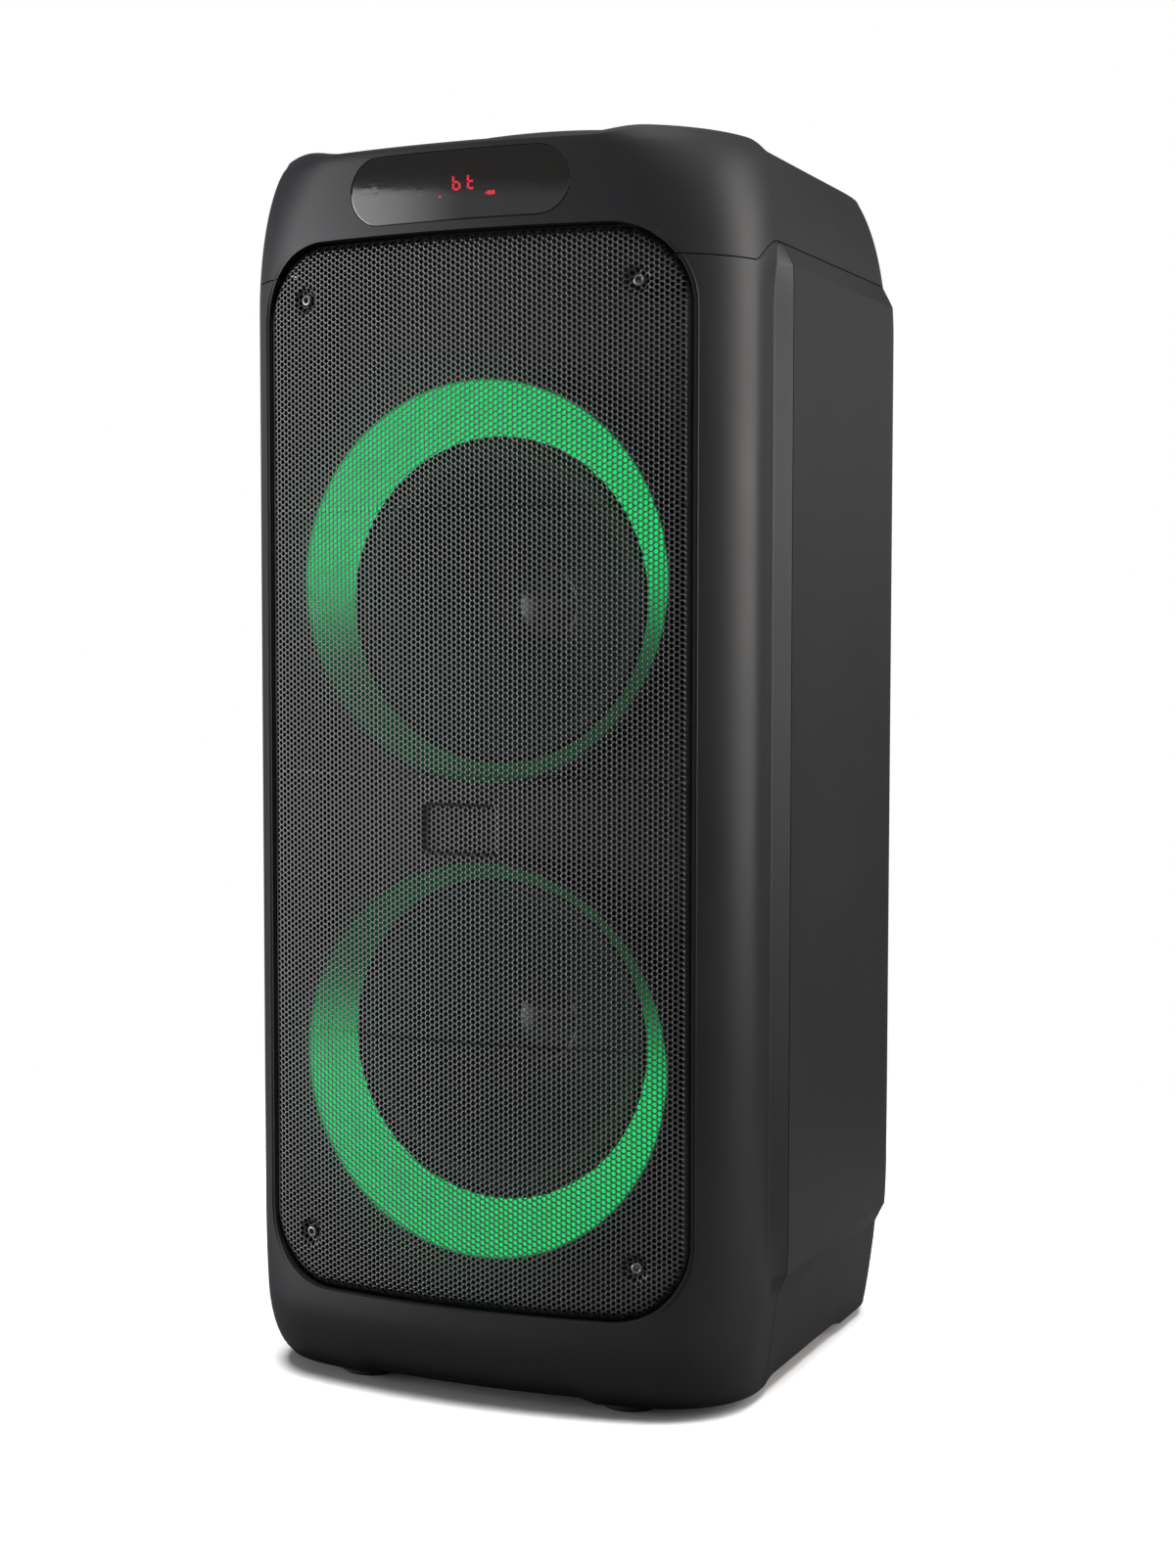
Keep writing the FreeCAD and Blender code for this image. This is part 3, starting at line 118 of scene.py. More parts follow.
class Finish(Tree):
    """One procedural material."""

    def __init__(self, name):
        self.material = bpy.data.materials.new(name)
        self.material.use_nodes = True
        super().__init__(self.material.node_tree, "OutputMaterial")
        self.place = self.add("TexCoord").outputs["Object"]

    def noise(self, scale, detail=2.0, roughness=0.5, stretch=(1, 1, 1)):
        moved = self.one("Mapping", Vector=self.place, Scale=stretch)
        return self.one("TexNoise", Vector=moved, Scale=scale, Detail=detail, Roughness=roughness)

    def blend(self, factor, first, second):
        node = self.add("Mix", {"data_type": "RGBA"})
        for index, value in ((0, factor), (6, first), (7, second)):
            self.join(node.inputs[index], value)
        return node.outputs[2]

    def shades(self, factor, shade, low, high, start=0.35, end=0.65):
        """A colour, from low to high times its strength as factor runs from start to end."""
        return self.blend(self.between(factor, 0, 1, start, end), colour(*shade, low), colour(*shade, high))

    def worn(self, body, edges, amount, shade, gain):
        """A body colour that turns lighter along the edges."""
        return self.blend(self.sums("MULTIPLY", edges, amount), body, colour(*shade, gain))

    def bump(self, height, depth, normal=None):
        node = self.add("Bump", Height=height, Distance=depth, Strength=1.0)
        if normal is not None:
            self.join(node.inputs["Normal"], normal)
        return node.outputs["Normal"]

    def soft_edges(self, radius):
        """The normal with its edges rounded, and a mask that is 1 along them."""
        rounded = self.one("Bevel", {"samples": 4}, Radius=radius)
        plain = self.add("NewGeometry").outputs["Normal"]
        return rounded, self.between(self.dot(rounded, plain), 1.0, 0.0, 0.80, 0.995)

    def surface(self, body, roughness, **inputs):
        self.show(self.one("BsdfPrincipled", Base_Color=body, Roughness=roughness, **inputs))
        return self.material


def colour(red, green, blue, gain=1.0):
    return (red * gain, green * gain, blue * gain, 1.0)


def moulded(name, shade, roughness, grain=0.35 * MM):
    """Moulded plastic with a fine grain, faint unevenness and slightly polished edges."""
    f = Finish(name)
    fine = f.noise(1 / grain, 3.0, 0.6)
    broad = f.noise(9.0, 4.0)
    normal, edges = f.soft_edges(0.3 * MM)
    body = f.shades(broad, shade, 0.88, 1.12)
    body = f.blend(f.between(fine, 0, 1), body, f.blend(0.5, body, colour(*shade, 1.5)))
    body = f.worn(body, edges, 0.25, shade, 2.4)
    rough = f.sums("SUBTRACT", f.between(broad, roughness - 0.03, roughness + 0.04), f.sums("MULTIPLY", edges, 0.08))
    return f.surface(body, rough, Normal=f.bump(fine, 0.02 * MM, normal), IOR=1.46)


def glossy(name, shade, roughness):
    """Polished plastic with faint ripple and a little dust."""
    f = Finish(name)
    dust = f.noise(700.0, 6.0, 0.7)
    body = f.blend(f.between(dust, 0, 0.5, 0.62, 0.8), colour(*shade), colour(*shade, 3.0))
    rough = f.between(dust, roughness, roughness + 0.15, 0.55, 0.8)
    return f.surface(body, rough, Normal=f.bump(f.noise(25.0), 0.004 * MM), Coat_Weight=0.6, Coat_Roughness=0.04)


def rubber(name, shade, roughness=0.62):
    f = Finish(name)
    fine = f.noise(1800.0, 4.0, 0.7)
    normal, edges = f.soft_edges(0.4 * MM)
    body = f.worn(f.shades(f.noise(30.0, 3.0), shade, 0.8, 1.3), edges, 0.35, shade, 3.0)
    return f.surface(body, f.between(fine, roughness, roughness + 0.2), Normal=f.bump(fine, 0.03 * MM, normal))


def metal(name, shade, roughness, streak=(1, 1, 1), metallic=1.0):
    """Bare or plated metal with fine streaks along one direction."""
    f = Finish(name)
    lines = f.noise(1500.0, 3.0, stretch=streak)
    normal, edges = f.soft_edges(0.2 * MM)
    body = f.worn(f.shades(f.noise(40.0, 4.0), shade, 0.82, 1.08), edges, 0.4, shade, 1.5)
    return f.surface(body, f.between(lines, roughness, roughness + 0.14), Metallic=metallic,
                     Normal=f.bump(lines, 0.006 * MM, normal))


def powder_coat(name, shade, roughness):
    """Satin powder coat: orange-peel ripple under a slight gloss."""
    f = Finish(name)
    broad = f.noise(14.0, 3.0)
    return f.surface(f.shades(broad, shade, 0.85, 1.2), f.between(broad, roughness - 0.04, roughness + 0.05),
                     Normal=f.bump(f.noise(1400.0, 2.0), 0.012 * MM), IOR=2.1)


def woven(name, shade):
    """Open cloth: two crossed sets of threads 0.9 mm apart."""
    f = Finish(name)
    waves = [f.add("TexWave", {"bands_direction": way}, Vector=f.place, Scale=0.16 / (0.9 * MM), Distortion=1.0,
                   Detail_Scale=40.0).outputs["Fac"] for way in ("X", "Z")]
    weave = f.sums("MAXIMUM", *waves)
    body = f.shades(f.noise(60.0, 4.0), shade, 0.7, 1.15)
    body = f.blend(f.between(weave, 0, 1, 0.2, 0.8), colour(*shade, 0.4), body)
    return f.surface(body, 0.85, Normal=f.bump(weave, 0.12 * MM))


def pulp(name, shade):
    """Coated paper pulp: short fibres, slight sheen."""
    f = Finish(name)
    fibres = f.noise(900.0, 8.0, 0.75)
    return f.surface(f.shades(fibres, shade, 0.6, 1.6, 0.3, 0.7), f.between(f.noise(45.0, 3.0), 0.42, 0.56),
                     Normal=f.bump(fibres, 0.06 * MM))


def board(name, shade):
    """A circuit board: lacquer over copper tracks, with plated spots."""
    f = Finish(name)
    tracks = f.add("TexBrick", Vector=f.place, Scale=240.0, Mortar_Size=0.03, Bias=0.3).outputs["Fac"]
    spots = f.add("TexVoronoi", Vector=f.place, Scale=320.0).outputs["Distance"]
    body = f.blend(tracks, colour(*shade), colour(*shade, 2.2))
    body = f.blend(f.between(spots, 1, 0, 0.10, 0.16), body, colour(0.55, 0.55, 0.52))
    return f.surface(body, 0.34, Normal=f.bump(tracks, 0.03 * MM))


def ceramic(name, shade):
    """Pressed ferrite: granular, dull grey-black with chipped edges."""
    f = Finish(name)
    grains = f.noise(1100.0, 6.0, 0.8)
    normal, edges = f.soft_edges(0.5 * MM)
    body = f.worn(f.shades(grains, shade, 0.7, 1.4), edges, 0.5, shade, 3.0)
    return f.surface(body, 0.6, Normal=f.bump(grains, 0.05 * MM, normal))


def wrap(name, shade):
    """Heat-shrink film: glossy, with soft wrinkles."""
    f = Finish(name)
    wrinkles = f.noise(70.0, 5.0, 0.6, stretch=(1, 3, 1))
    return f.surface(f.shades(wrinkles, shade, 0.85, 1.15), f.between(wrinkles, 0.2, 0.34),
                     Normal=f.bump(wrinkles, 0.5 * MM))


def lit_ring(name, height, bright_angle):
    """A frosted crescent, lit at its wide side and dark at its narrow side."""
    f = Finish(name)
    axes = f.add("SeparateXYZ", Vector=f.place)
    across, up = axes.outputs["X"], f.sums("SUBTRACT", axes.outputs["Z"], height)
    reach = f.length(across, up)
    angle, dark, lit = (radians(a) for a in (bright_angle, 128, 70))
    along = f.sums("MULTIPLY_ADD", across, cos(angle), f.sums("MULTIPLY", up, sin(angle)))
    round_fade = f.between(f.sums("DIVIDE", along, reach), 0.05, 1, cos(dark), cos(lit), "SMOOTHERSTEP")
    edge_fade = f.between(reach, 0, 1, RING_OUTER * MM, 109 * MM, "SMOOTHSTEP")
    glow = f.sums("MULTIPLY", f.sums("MULTIPLY", round_fade, edge_fade), f.between(f.noise(160.0), 0.92, 1.08))
    return f.surface(colour(0.03, 0.034, 0.032), 0.5, Emission_Color=colour(0.0, 0.78, 0.16),
                     Emission_Strength=f.sums("MULTIPLY", glow, 1.02))


def lit_segment(name, shade, strength):
    f = Finish(name)
    return f.surface(colour(*shade, 0.4), 0.4, Emission_Color=colour(*shade),
                     Emission_Strength=f.between(f.noise(900.0, 1.0), 0.85 * strength, 1.15 * strength))


def smoked_lens(name):
    """A smoked clear panel: dark straight through, a mirror at a slant."""
    f = Finish(name)
    smear = f.noise(60.0, 5.0, 0.6, stretch=(1, 1, 4))
    clear = f.one("BsdfTransparent", Color=colour(0.2, 0.19, 0.2))
    haze = f.one("BsdfDiffuse", Color=colour(0.045, 0.042, 0.04))
    mirror = f.one("BsdfGlossy", Color=colour(1, 1, 1), Roughness=f.between(smear, 0.01, 0.03),
                   Normal=f.bump(smear, 0.003 * MM))
    f.show(f.mixed(f.one("Fresnel", IOR=1.62), f.mixed(0.3, clear, haze), mirror))
    return f.material


CHARCOAL = (0.0098, 0.0098, 0.0108)
FINISHES = {name: make(name, *values) for name, make, *values in (
    ("cabinet_plastic", moulded, CHARCOAL, 0.44),
    ("moulded_plastic", moulded, (0.016, 0.016, 0.017), 0.55),
    ("baffle_plastic", moulded, (0.010, 0.010, 0.011), 0.65),
    ("knob_plastic", moulded, (0.022, 0.022, 0.024), 0.42, 0.25 * MM),
    ("socket_metal", moulded, (0.03, 0.03, 0.032), 0.4),
    ("print_white", moulded, (0.55, 0.55, 0.55), 0.6),
    ("grille_steel", powder_coat, (0.02, 0.02, 0.021), 0.37),
    ("basket_steel", powder_coat, (0.012, 0.012, 0.012), 0.5),
    ("black_screws", metal, (0.34, 0.34, 0.36), 0.28, (1, 1, 1), 0.9),
    ("plated_screws", metal, (0.55, 0.55, 0.56), 0.28),
    ("plated_steel", metal, (0.60, 0.60, 0.60), 0.30),
    ("sink_aluminium", metal, (0.62, 0.62, 0.64), 0.34, (1, 1, 0.05)),
    ("coil_former", metal, (0.70, 0.45, 0.25), 0.3, (1, 0.05, 1)),
    ("display_lens", smoked_lens),
    ("display_red", lit_segment, (1.0, 0.02, 0.05), 6.0),
    ("circuit_board", board, (0.015, 0.10, 0.04)),
    ("battery_wrap", wrap, (0.02, 0.09, 0.30)),
    ("foot_rubber", rubber, (0.014, 0.014, 0.014)),
    ("surround_rubber", rubber, (0.012, 0.012, 0.012), 0.5),
    ("ferrite", ceramic, (0.035, 0.035, 0.036)),
    ("cone_paper", pulp, (0.014, 0.014, 0.015)),
    ("cap_gloss", glossy, (0.012, 0.012, 0.013), 0.12),
    ("spider_cloth", woven, (0.62, 0.42, 0.16)),
)}


def dress_frame():
    """Gives each carried-over node the finish that the record names for it."""
    for part in frame["record"]["subparts"]:
        node = NODES[part["node"]]
        node.data.materials.clear()
        node.data.materials.append(FINISHES.get(part["material_slot"]) or FINISHES["moulded_plastic"])
    NODES["baffle"].data.materials[0] = FINISHES["baffle_plastic"]


# --- meshes

def piece(name, points, faces, finish, body="cabinet", replaces=(), smooth=40.0):
    """A new mesh piece that rides on a body."""
    mesh = bpy.data.meshes.new(name)
    mesh.from_pydata([tuple(p) for p in points], [], faces)
    return settle(name, mesh, finish, body, replaces, smooth)


def linked(name, data):
    """A new object in the scene."""
    made = bpy.data.objects.new(name, data)
    bpy.context.scene.collection.objects.link(made)
    return made


def settle(name, mesh, finish, body="cabinet", replaces=(), smooth=40.0):
    """Puts a finished mesh in the scene as a piece that rides on a body."""
    mesh.update()
    made = linked(name, mesh)
    mesh.materials.append(FINISHES[finish] if isinstance(finish, str) else finish)
    mesh.polygons.foreach_set("use_smooth", [True] * len(mesh.polygons))
    if smooth is not None:
        mesh.set_sharp_from_angle(angle=radians(smooth))
    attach(made, body)
    if replaces:
        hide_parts(*replaces)
    return made


def modify(obj, kind, **settings):
    modifier = obj.modifiers.new(kind.lower(), kind)
    for name, value in settings.items():
        setattr(modifier, name, value)


def bevel(obj, width, segments=2, angle=40.0):
    modify(obj, "BEVEL", width=width, segments=segments, limit_method="ANGLE",
           angle_limit=radians(angle), miter_outer="MITER_ARC", harden_normals=False)


def joined(rows, ends=True, round_again=False):
    """Faces between rows of as many points; the outer rows are closed or joined to each other."""
    count = len(rows[0])
    faces = []
    for i in range(len(rows) if round_again else len(rows) - 1):
        j = (i + 1) % len(rows)
        for k in range(count):
            m = (k + 1) % count
            faces.append((i * count + k, i * count + m, j * count + m, j * count + k))
    if ends:
        last = (len(rows) - 1) * count
        faces += [tuple(range(count - 1, -1, -1)), tuple(range(last, last + count))]
    return faces


def in_metres(rows):
    return [Vector(p) * MM for row in rows for p in row]


def swept(name, rows, finish, body="cabinet", replaces=(), smooth=50.0, shape=(True, False), flip=False):
    """A piece from rows of points in mm; shape goes to joined()."""
    faces = joined(rows, *shape)
    if flip:
        faces = [tuple(reversed(f)) for f in faces]
    return piece(name, in_metres(rows), faces, finish, body, replaces, smooth)


def circle(count):
    """Cosine and sine of count even steps round a circle."""
    return [(cos(2 * pi * k / count), sin(2 * pi * k / count)) for k in range(count)]


def arc(centre, radius, start, end, steps):
    """Points of an arc between two angles in degrees."""
    angles = [radians(start + (end - start) * i / steps) for i in range(steps + 1)]
    return [(centre[0] + radius * cos(a), centre[1] + radius * sin(a)) for a in angles]


def lathe(name, profile, centre, finish, body="cabinet", replaces=(), segments=128, upright=False):
    """A profile of (radius, along) in mm, turned round y, or round z and left open at its ends."""
    x, y, z = centre
    rows = [[(x + r * c, y + r * s, z + a) if upright else (x + r * c, y + a, z + r * s) for c, s in circle(segments)]
            for r, a in profile]
    return swept(name, rows, finish, body, replaces, 35.0, (False, not upright), not upright)


def mm_box(node):
    """The lowest and the highest corner of a CAD node, in mm."""
    return [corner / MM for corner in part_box(node)]


# --- cabinet form

def clamped(share):
    return min(max(share, 0.0), 1.0)


def smooth_step(share):
    share = clamped(share)
    return share * share * (3 - 2 * share)


def round_over(share, reach):
    """Goes from 0 to 1 like a quarter ellipse; reach below 1 stops it before it is level."""
    return (1 - sqrt(1 - (clamped(share) * reach) ** 2)) / (1 - sqrt(1 - reach ** 2))


HALF, FRONT, REAR = 155.0, -160.0, 160.0
BOTTOM, TOP, RIM = 9.0, 694.0, 690.0
BULGE = 467.0
PANEL_RISE = 5.0
PAD_DROP = 3.2
PARTING, CHAMFER_START, VALLEY_START = -69.0, -80.5, -108.0
VALLEY = 2.5
PANEL_LOW, PANEL_HIGH, PANEL_CHAMFER = 71.0, 627.3, 11.5
SEAM, HOOK_START, HOOK_END = 625.4, -105.0, -78.0
SEAM_GAP = 0.3
EDGE_ROUND = 2.5
ELSEWHERE = 1e3


def level(z):
    """Half width, front, rear and corner size of the plain cabinet at a height."""
    at_bottom = round_over((BOTTOM + 89 - z) / 89, 0.3)
    at_top = round_over((z - TOP + 85) / 85, 0.96)
    side_inset = 9 * at_bottom + 14 * at_top
    front_inset = 21 * round_over((BOTTOM + 38 - z) / 38, 0.9) + 3 * round_over((z - TOP + 9) / 9, 0.98)
    corner = 48.6 - 7.6 * at_bottom + 25.4 * at_top
    return HALF - side_inset, FRONT + front_inset, REAR - side_inset, corner


def spread(start, end, count):
    return [start + (end - start) * i / count for i in range(count)]


def bulged(x, front=FRONT):
    """Where the bulging front lies at a distance from its middle."""
    return front + BULGE - sqrt(BULGE ** 2 - x ** 2)


def half_outline(z):
    """The right half of the outline at a height, from the front's middle to the rear's middle."""
    half, front, rear, corner = level(z)
    x_end = half - corner
    slope = asin(x_end / BULGE)
    pillar = corner / (1 - sin(slope))
    pillar_y = bulged(x_end, front) + pillar * cos(slope)
    points = [(x, bulged(x, front)) for x in spread(0, x_end, 34)]
    points += [(half - pillar + pillar * cos(a), pillar_y - pillar * sin(a))
               for a in spread(pi / 2 - slope, 0, 30)]
    start, end = max(pillar_y + 1.5, CHAMFER_START), PARTING + 5
    side = [start + (y - CHAMFER_START) * (end - start) / (end - CHAMFER_START)
            for y in (CHAMFER_START, CHAMFER_START + 0.8, -77.0, -73.0, PARTING - 1, PARTING, PARTING + 1)]
    points += [(half, y) for y in spread(pillar_y, side[0], 3) + side + spread(PARTING + 6, rear - corner, 22)]
    points = [side_relief(x, y, z, half) for x, y in points]
    middle_x = half - corner + PANEL_RISE * panel_share(z)
    points += [(middle_x + corner * cos(a), rear - corner + corner * sin(a))
               for a in spread(0, pi / 2, 14)]
    return points + [(x, rear) for x in spread(middle_x, 0, 16)] + [(0.0, rear)]


def panel_share(z):
    """How far the side panel stands out at a height: 0 outside it, 1 on its flat."""
    return clamped(min(z - PANEL_LOW + PANEL_CHAMFER, PANEL_HIGH + PANEL_CHAMFER - z) / PANEL_CHAMFER)


def side_relief(x, y, z, half):
    """Adds the shallow valley and the raised flat panel to a point of a side."""
    if x < half - 30:
        return x, y
    dip = VALLEY * smooth_step((z - 62) / 40) * smooth_step((640 - z) / 34)
    if y <= CHAMFER_START:
        return x - dip * smooth_step((y - VALLEY_START) / (CHAMFER_START - 3 - VALLEY_START)), y
    share = min((y - CHAMFER_START) / (PARTING - CHAMFER_START), 1.0)
    return x - dip * (1 - share) + PANEL_RISE * panel_share(z) * share, y


def saddle(distance, start, ramp):
    return (1 - cos(pi * clamped((abs(distance) - start) / ramp))) / 2


def top_height(x, y):
    """Height of the top surface: low along the middles, raised at its four corners."""
    lengthways = saddle(y, 64, 22) if y < 0 else -0.4 * saddle(y, 60, 50)
    return RIM + (TOP - RIM) * saddle(x, 68, 38) * lengthways


def dropped(point):
    """A point of the skin, let down where a pad for a foot bulges."""
    x, y, z = point
    pad = saddle(x, 60, 14) * saddle(y, 56, 14)
    return x, y, z - PAD_DROP * pad * smooth_step((BOTTOM + 40 - z) / 40)


def whole_outline(z):
    """A full outline, anticlockwise seen from above."""
    half = half_outline(z)
    return half + [(-x, y) for x, y in reversed(half[1:-1])]


def skin_rows():
    """Rows of points round the cabinet, from the middle of its bottom to the middle of its top."""
    heights = [BOTTOM + 1.2, 11.6, 13.4, 16, 19, 23, 28, 34, 41, 47, 53, 58.5, 59.5, 60.5, 65.2, 70, 71, 72, 76, 82,
               90, 98] + [98 + 500 * i / 60 for i in range(1, 61)]
    heights += [604, 610, 616, 621, 625, 626, 627, 631.5, 636.5, 637.5, 638.5, 643]
    rows = [[(*p, z) for p in whole_outline(z)] for z in heights]
    base = [[pulled(p, inward, BOTTOM) for p in rows[0]] for inward in (90, 60, 35, 15, 4, 1.2)]
    base.append([pulled(p, 0.4, BOTTOM + 0.4) for p in rows[0]])
    start, steps = heights[-1], 14
    tops = [top_height(x, y) - EDGE_ROUND for x, y in whole_outline(TOP - EDGE_ROUND)]
    for i in range(1, steps + 1):
        row = [start + (top - start) * (i / steps) for top in tops]
        outlines = {z: whole_outline(z) for z in {round(z, 2) for z in row}}
        rows.append([(*outlines[round(z, 2)][k], z) for k, z in enumerate(row)])
    rim = rows[-1]
    for c, s in circle(12)[1:4]:
        rows.append([pulled(p, EDGE_ROUND * (1 - c) * 1.6, p[2] + EDGE_ROUND * s) for p in rim])
    for inward in (7, 11, 16, 22, 29, 37, 46, 56, 67, 79, 92, 106, 121):
        moved = [pulled(p, inward, 0) for p in rim]
        rows.append([(x, y, top_height(x, y)) for x, y, _ in moved])
    return [[dropped(p) for p in row] for row in base + rows]


def pulled(point, inward, z):
    """A point moved inward, toward a spine in the middle."""
    x, y = point[0], point[1]
    spine_y = min(max(y, -20.0), 20.0)
    away = hypot(x, y - spine_y)
    share = max(away - inward, 0.5) / away
    return x * share, spine_y + (y - spine_y) * share, z


def rounded_box(x, z, half, low, high, corner):
    """Signed distance from the outline of a rounded rectangle, negative inside."""
    across = abs(x) - half + corner
    along = abs(z - (low + high) / 2) - (high - low) / 2 + corner
    return hypot(max(across, 0), max(along, 0)) + min(max(across, along), 0) - corner


def seam_height(y):
    """The cap's lower edge: level in front, then up to the panel's upper edge."""
    share = clamped((y - HOOK_START) / (HOOK_END - HOOK_START))
    return SEAM + (PANEL_HIGH + PANEL_CHAMFER - SEAM) * sin(pi / 2 * share)


def seam_stretch(y):
    """Length of the cap's lower edge per length in plan, which keeps its gap even on the steep hook."""
    slope = (seam_height(y + 0.05) - seam_height(y - 0.05)) / 0.1
    return sqrt(1 + min(slope, 6.0) ** 2)


# rounded boxes: half width, low edge, high edge, corner radius
OPENING, WINDOW = (128.6, 56.4, 642.8, 43.0), (65.8, 647.7, 684.9, 18.6)
HAND, DECK = (84.0, -100.0, -14.0, 9.0), (108.3, 3.7, 112.3, 4.0)
PLATE = (80.3, 439.7, 560.3, 3.0)


def in_front(box):
    return lambda x, y, z: rounded_box(x, z, *box) if y < -90 else ELSEWHERE


def on_top(box):
    return lambda x, y, z: rounded_box(x, y, *box) if z > 686 else ELSEWHERE


def rear_hole(at_x, at_z, radius):
    return lambda x, y, z: hypot(x - at_x, z - at_z) - radius if y > 120 else ELSEWHERE


# each outline: distance from it, how far its edge is turned into the cabinet, and how near to it and how often
# the skin is divided
OUTLINES = [
    (in_front(OPENING), (0, 13, 0), 0, 0),
    (in_front(WINDOW), (0, 3, 0), 0, 0),
    (on_top(HAND), (0, 0, -30), 5, 1),
    (on_top(DECK), (0, 0, -6), 5, 1),
    (lambda x, y, z: rounded_box(x, z, *PLATE) if y > 120 else ELSEWHERE, (0, -6, 0), 5, 1),
    *((rear_hole(x, 350, 34.1), (0, -5, 0), 5, 1) for x in (-82, 82)),
    *((rear_hole(x, z, 4.2), (0, -60, 0), 9, 3) for x in (-146, 146) for z in (100, 330, 580)),
]
SEAMS = (lambda x, y, z: y - PARTING, lambda x, y, z: (z - seam_height(y)) / seam_stretch(y))


def split_along(skin, distance):
    """Splits a skin's faces along the line where distance is zero."""
    near = 1e-4
    value = {v: distance(*v.co) for v in skin.verts}
    for edge in list(skin.edges):
        a, b = edge.verts
        if value[a] * value[b] >= 0 or min(abs(value[a]), abs(value[b])) < near:
            continue
        low, high = 0.0, 1.0
        for _ in range(18):
            middle = (low + high) / 2
            if distance(*a.co.lerp(b.co, middle)) * value[a] > 0:
                low = middle
            else:
                high = middle
        value[bmesh.utils.edge_split(edge, a, (low + high) / 2)[1]] = 0.0
    for face in list(skin.faces):
        crossings = [v for v in face.verts if abs(value[v]) < near]
        if len(crossings) == 2 and not skin.edges.get(crossings):
            bmesh.utils.face_split(face, *crossings)


def refine_near(skin, distance, reach, cuts):
    """Divides the faces close to an outline, so that it comes out round."""
    close = {f for f in skin.faces if abs(distance(*f.calc_center_median())) < reach}
    edges = list({e for f in close for e in f.edges})
    bmesh.ops.subdivide_edges(skin, edges=edges, cuts=cuts, use_grid_fill=True)


def shell_of(centre):
    """Which shell a point of the skin belongs to; None in the gaps and openings."""
    to_parting, to_cap = (distance(*centre) for distance in SEAMS)
    if any(outline[0](*centre) < 0 for outline in OUTLINES) or abs(to_cap) < SEAM_GAP:
        return None
    if to_cap > 0:
        return "top_cap"
    if abs(to_parting) < SEAM_GAP:
        return None
    return "front_shell" if to_parting < 0 else "rear_shell"


def spot(vert):
    return tuple(round(c, 5) for c in vert.co)


def turn_edges_in(shell):
    """Gives every open edge of a shell a flange that runs into the cabinet."""
    shell.normal_update()
    shell.faces.index_update()
    rims = [e for e in shell.edges if e.is_boundary]
    push = {}
    for v in {v for e in rims for v in e.verts}:
        ways = [way for distance, way, *_ in OUTLINES if abs(distance(*v.co)) < 0.01]
        push[spot(v)] = Vector(ways[-1]) if ways else -v.normal * 3.0
    made = bmesh.ops.extrude_edge_only(shell, edges=rims)["geom"]
    for edge in rims:
        first, second = edge.link_loops
        if first.vert == second.vert:
            max(first.face, second.face, key=lambda f: f.index).normal_flip()
    for v in [g for g in made if isinstance(g, bmesh.types.BMVert)]:
        v.co += push[spot(v)]


def cabinet_shells():
    """The two cabinet shells and the top cap, cut from one continuous skin."""
    rows = skin_rows()
    skin = bmesh.new()
    verts = [skin.verts.new(p) for row in rows for p in row]
    for face in joined(rows):
        skin.faces.new([verts[v] for v in face])
    for distance, _, reach, cuts in OUTLINES:
        if cuts:
            refine_near(skin, distance, reach, cuts)
    for distance, *_ in OUTLINES:
        split_along(skin, distance)
    for distance in SEAMS:
        for side in (-SEAM_GAP, SEAM_GAP):
            split_along(skin, lambda x, y, z: distance(x, y, z) + side)
    owners = [shell_of(f.calc_center_median()) for f in skin.faces]
    for name in ("front_shell", "rear_shell", "top_cap"):
        shell = skin.copy()
        drop = [f for f, owner in zip(shell.faces, owners) if owner != name]
        bmesh.ops.delete(shell, geom=drop, context="FACES")
        shell.verts.index_update()
        turn_edges_in(shell)
        shell.normal_update()
        bmesh.ops.scale(shell, vec=(MM, MM, MM), verts=shell.verts)
        mesh = bpy.data.meshes.new(name + "_skin")
        shell.to_mesh(mesh)
        shell.free()
        made = settle(name + "_skin", mesh, "cabinet_plastic", replaces=[name], smooth=None)
        bevel(made, 0.35 * MM, 2, 55)
        modify(made, "SOLIDIFY", thickness=2.2 * MM, offset=-1, use_even_offset=False, use_quality_normals=True)
        modify(made, "WEIGHTED_NORMAL", keep_sharp=True, weight=60)
    skin.free()


# --- grille

PITCH, WEB, SHEET = 3.2, 0.78, 1.0
GRILLE_RADIUS = 463.0
SCREW_PLACES = [(side * 99.8, z) for side in (-1, 1) for z in (86.9, 612.4)]
BADGE = (21.7, 307.5, 334.3, 2.5)
box_distances = np.vectorize(rounded_box)


def arc_length(x):
    """How far along the grille's curve a distance from its middle plane lies."""
    return GRILLE_RADIUS * asin(x / GRILLE_RADIUS)


class GrilleSheet:
    """The bent sheet: points are given by arc length s from its middle and height z."""

    def __init__(self):
        low, high = mm_box("grille")
        self.front = low.y
        self.outline = (arc_length(high.x), low.z, high.z, 41.5)

    def sunk(self, s, z):
        """How far the sheet lies behind its plain curve: rolled edge, screw dimples, badge pocket."""
        roll = np.clip(1 + box_distances(s, z, *self.outline) / 9.0, 0, 0.985)
        depth = 4.2 * (1 - np.sqrt(1 - roll ** 2))
        hollows = [(3.2, (8.2 - np.hypot(s - arc_length(x), z - height)) / 4.2) for x, height in SCREW_PLACES]
        for deep, share in hollows + [(2.4, 0.5 - box_distances(s, z, *BADGE))]:
            share = np.clip(share, 0, 1)
            depth = depth + deep * share * share * (3 - 2 * share)
        return depth

    def place(self, s, z, back=0.0):
        """Points in metres on the sheet's face, or that far behind it."""
        axis = self.front + GRILLE_RADIUS
        x, y = GRILLE_RADIUS * np.sin(s / GRILLE_RADIUS), axis - GRILLE_RADIUS * np.cos(s / GRILLE_RADIUS)
        return np.stack([x, y + self.sunk(s, z) + back, z], axis=-1) * MM


